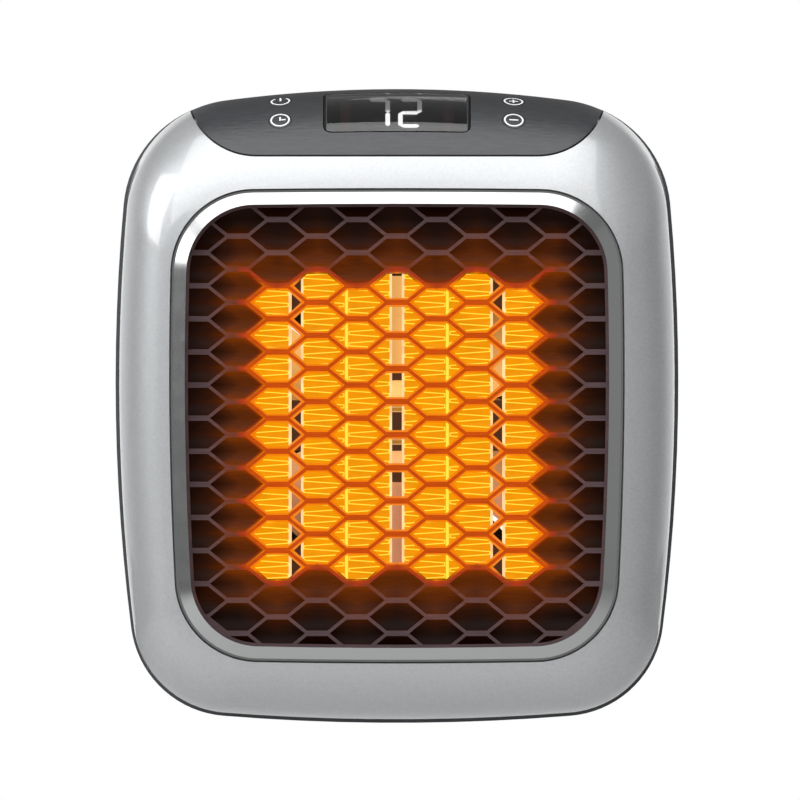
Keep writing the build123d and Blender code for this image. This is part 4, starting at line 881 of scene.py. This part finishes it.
class HEATER_OT_fasteners(bpy.types.Operator):
    """Finish the screws, terminals, springs and contacts"""

    bl_idname = "heater.fasteners"
    bl_label = "Fasteners and contacts"

    def execute(self, context):
        # Screw steel, rolled and passivated: small bright points
        screws = metal("passivated_screw_steel", "#B4B6B8", roughness=0.28, width=0.4 * mm)
        dress(screws, *[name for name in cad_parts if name.endswith("_screws")])
        # Tinned steel, stamped: a pale even shine
        tinned = metal("tinned_tab_steel", "#BEBEBC", roughness=0.3, width=0.6 * mm)
        dress(tinned, "heater_terminals", "thermal_cutout", "thermal_fuse")
        # Brass, rolled: a warm yellow shine
        brass = metal("rolled_brass", "#B8954E", roughness=0.3, width=0.6 * mm)
        dress(brass, "motor_terminals", "wiper_springs", "switch_terminals", "contact_tracks")
        # Brass, stamped and nickel-plated: a clear, slightly warm silver
        nickel = metal("nickel_plated_brass", "#C6C3BA", roughness=0.2, width=1 * mm)
        dress(nickel, "live_blade", "neutral_blade")
        return {"FINISHED"}


class HEATER_OT_electrics(bpy.types.Operator):
    """Finish the boards and what stands on them"""

    bl_idname = "heater.electrics"
    bl_label = "Electrics"

    def execute(self, context):
        # Glass-fibre board under a printed mask: a satin dark green
        board = plain("solder_masked_board", "#1F5A34", roughness=0.35, width=1.2 * mm)
        dress(board, "control_board", "power_board")
        # Black epoxy and nylon, moulded: the same plain satin
        epoxy = plain("black_component_epoxy", "#1E1E20", roughness=0.4, width=0.8 * mm)
        dress(epoxy, "key_switches", "controller_chip", "relay", "choke", "wiper_holder", "swivel_retainer")
        # Blue lacquer on the varistor and blue plastic on the terminal block: the same gloss
        lacquer = plain("blue_component_lacquer", "#23479A", roughness=0.3, width=0.8 * mm)
        dress(lacquer, "varistor", "terminal_block")
        # Polyester case, moulded: a glossy yellow
        case = plain("yellow_capacitor_case", "#D8AE2A", roughness=0.3, width=0.8 * mm)
        dress(case, "film_capacitor")
        # Nylon, moulded without colour: a waxy off-white
        dress(plain("natural_nylon", "#E6DEC8", roughness=0.45, width=0.8 * mm), "board_socket")
        # Epoxy, dipped: a small black bead with a wet shine
        dress(plain("sensor_epoxy", "#101012", roughness=0.2, width=0.5 * mm), "temperature_sensor")
        # Glass, drawn: a pale tube with a sharp shine, opaque here because it stands inside the shell
        dress(plain("fuse_glass", "#C9D2CE", roughness=0.1, width=0.8 * mm), "board_fuse")
        return {"FINISHED"}


class HEATER_OT_switch(bpy.types.Operator):
    """Finish the side switch and print its marks"""

    bl_idname = "heater.switch"
    bl_label = "Side switch"

    def execute(self, context):
        # Nylon, moulded in a polished tool: a satin black
        satin = plain("satin_switch_nylon", "#17181A", roughness=0.3, width=0.6 * mm)
        dress(satin, "switch_body", "switch_rocker")
        # Marking ink, pad-printed: an even white
        marks = plain("white_marking_ink", "#D8D9DA", roughness=0.5, width=0.3 * mm)
        piece = new_piece("rocker_marks", rocker_signs(context.scene.heater_signs), marks, "rocker")
        return {"FINISHED"}


def area_lamp(name, where, width, height, watts):
    """Rectangular lamp that looks at the heater."""
    data = bpy.data.lights.new(name, "AREA")
    data.shape = "RECTANGLE"
    data.size = width
    data.size_y = height
    data.energy = watts
    lamp = bpy.data.objects.new(name, data)
    bpy.context.scene.collection.objects.link(lamp)
    lamp.location = where
    lamp.rotation_euler = Vector(where).to_track_quat("Z", "Y").to_euler()
    return lamp


def backdrop(tree):
    """1 for rays that show the white wall: all that the camera sends, and the others where it stands."""
    glossy = add(tree, "ShaderNodeLightPath", out="Is Glossy Ray")
    through = add(tree, "ShaderNodeLightPath", out="Is Transmission Ray")
    wall = add(tree, "ShaderNodeMath", {0: glossy, 1: through}, operation="MAXIMUM")
    for axis, start, end in (("Y", 0.2, 0.6), ("Z", 0.5, 0.2)):
        direction = add(tree, "ShaderNodeTexCoord", out="Generated")
        direction = add(tree, "ShaderNodeSeparateXYZ", {0: direction}, out=axis)
        sockets = {"Value": direction, "From Min": start, "From Max": end}
        inside = add(tree, "ShaderNodeMapRange", sockets)
        wall = add(tree, "ShaderNodeMath", {0: wall, 1: inside}, operation="MULTIPLY")
    seen = add(tree, "ShaderNodeLightPath", out="Is Camera Ray")
    return add(tree, "ShaderNodeMath", {0: seen, 1: wall}, operation="MAXIMUM")


def studio_floor(look):
    """Wide flat floor below the outlet's height."""
    shape = bmesh.new()
    bmesh.ops.create_grid(shape, x_segments=1, y_segments=1, size=4)
    bmesh.ops.translate(shape, vec=(0, 0, -look.floor), verts=shape.verts)
    mesh = bpy.data.meshes.new("studio_floor")
    shape.to_mesh(mesh)
    shape.free()
    floor = bpy.data.objects.new("studio_floor", mesh)
    bpy.context.scene.collection.objects.link(floor)
    # Seamless paper: a matt pale grey that takes the object's soft shadow
    paper = plain("pale_paper", "#CFCFCF", roughness=0.9, width=20 * mm, change=0.01)
    mesh.materials.append(paper)


def studio_world(look):
    """Even light from all round, and white where the wall shows."""
    world = bpy.data.worlds.new("studio")
    bpy.context.scene.world = world
    world.use_nodes = True
    tree = world.node_tree
    tree.nodes.clear()
    light = add(tree, "ShaderNodeBackground", {"Color": grey(1), "Strength": look.sky})
    white = add(tree, "ShaderNodeBackground", {"Color": grey(1), "Strength": 1.0})
    mixed = add(tree, "ShaderNodeMixShader", {"Fac": backdrop(tree), 1: light, 2: white})
    add(tree, "ShaderNodeOutputWorld", {"Surface": mixed})


def studio_camera(look):
    """Long lens square on to the front."""
    lens = bpy.data.cameras.new("camera")
    lens.lens = look.focal
    lens.clip_end = 20
    camera = bpy.data.objects.new("camera", lens)
    bpy.context.scene.collection.objects.link(camera)
    front = cad_box[0][1]
    camera.location = (look.aim_x, front - look.distance, look.aim_z)
    camera.rotation_euler = (math.pi / 2, 0, 0)
    bpy.context.scene.camera = camera


class HEATER_OT_stage(bpy.types.Operator):
    """Set up the floor, the lamps, the white background and the camera"""

    bl_idname = "heater.stage"
    bl_label = "Studio"

    def execute(self, context):
        look = context.scene.heater_stage
        studio_floor(look)
        studio_world(look)
        area_lamp("top_lamp", (-0.14, -0.95, 1.2), width=1.6, height=2.2, watts=look.top)
        area_lamp("left_lamp", (-1.5, -0.9, 0.8), width=1.0, height=1.2, watts=look.left)
        area_lamp("right_lamp", (1.5, -1.0, 0.2), width=1.0, height=1.4, watts=look.right)
        rear = area_lamp("rear_lamp", (0.6, 1.5, 1.0), width=1.2, height=1.2, watts=look.rear)
        rear.visible_glossy = False
        studio_camera(look)
        context.scene.view_settings.view_transform = "Standard"
        return {"FINISHED"}


operators = (
    HEATER_OT_shells, HEATER_OT_panel, HEATER_OT_signs, HEATER_OT_display, HEATER_OT_grille, HEATER_OT_core,
    HEATER_OT_fan, HEATER_OT_fasteners, HEATER_OT_electrics, HEATER_OT_switch, HEATER_OT_stage,
)
settings = {
    "heater_finish": HeaterFinish,
    "heater_glow": HeaterGlow,
    "heater_signs": HeaterSigns,
    "heater_stage": HeaterStage,
}


class HEATER_PT_sidebar(bpy.types.Panel):
    """Everything that the heater's finish can change."""

    bl_idname = "HEATER_PT_sidebar"
    bl_label = "Outlet heater"
    bl_space_type = "VIEW_3D"
    bl_region_type = "UI"
    bl_category = "Heater"

    def draw(self, context):
        for name, group in settings.items():
            box = self.layout.box()
            for prop in group.__annotations__:
                box.prop(getattr(context.scene, name), prop)
        for operator in operators:
            self.layout.operator(operator.bl_idname)


def register():
    for group in settings.values():
        bpy.utils.register_class(group)
    for name, group in settings.items():
        setattr(bpy.types.Scene, name, PointerProperty(type=group))
    for each in (*operators, HEATER_PT_sidebar):
        bpy.utils.register_class(each)


def unregister():
    for each in (HEATER_PT_sidebar, *reversed(operators)):
        bpy.utils.unregister_class(each)
    for name in settings:
        delattr(bpy.types.Scene, name)
    for group in reversed(settings.values()):
        bpy.utils.unregister_class(group)


def main():
    """Make every piece in order."""
    register()
    for operator in operators:
        family, name = operator.bl_idname.split(".")
        getattr(getattr(bpy.ops, family), name)()


if __name__ == "__main__":
    main()
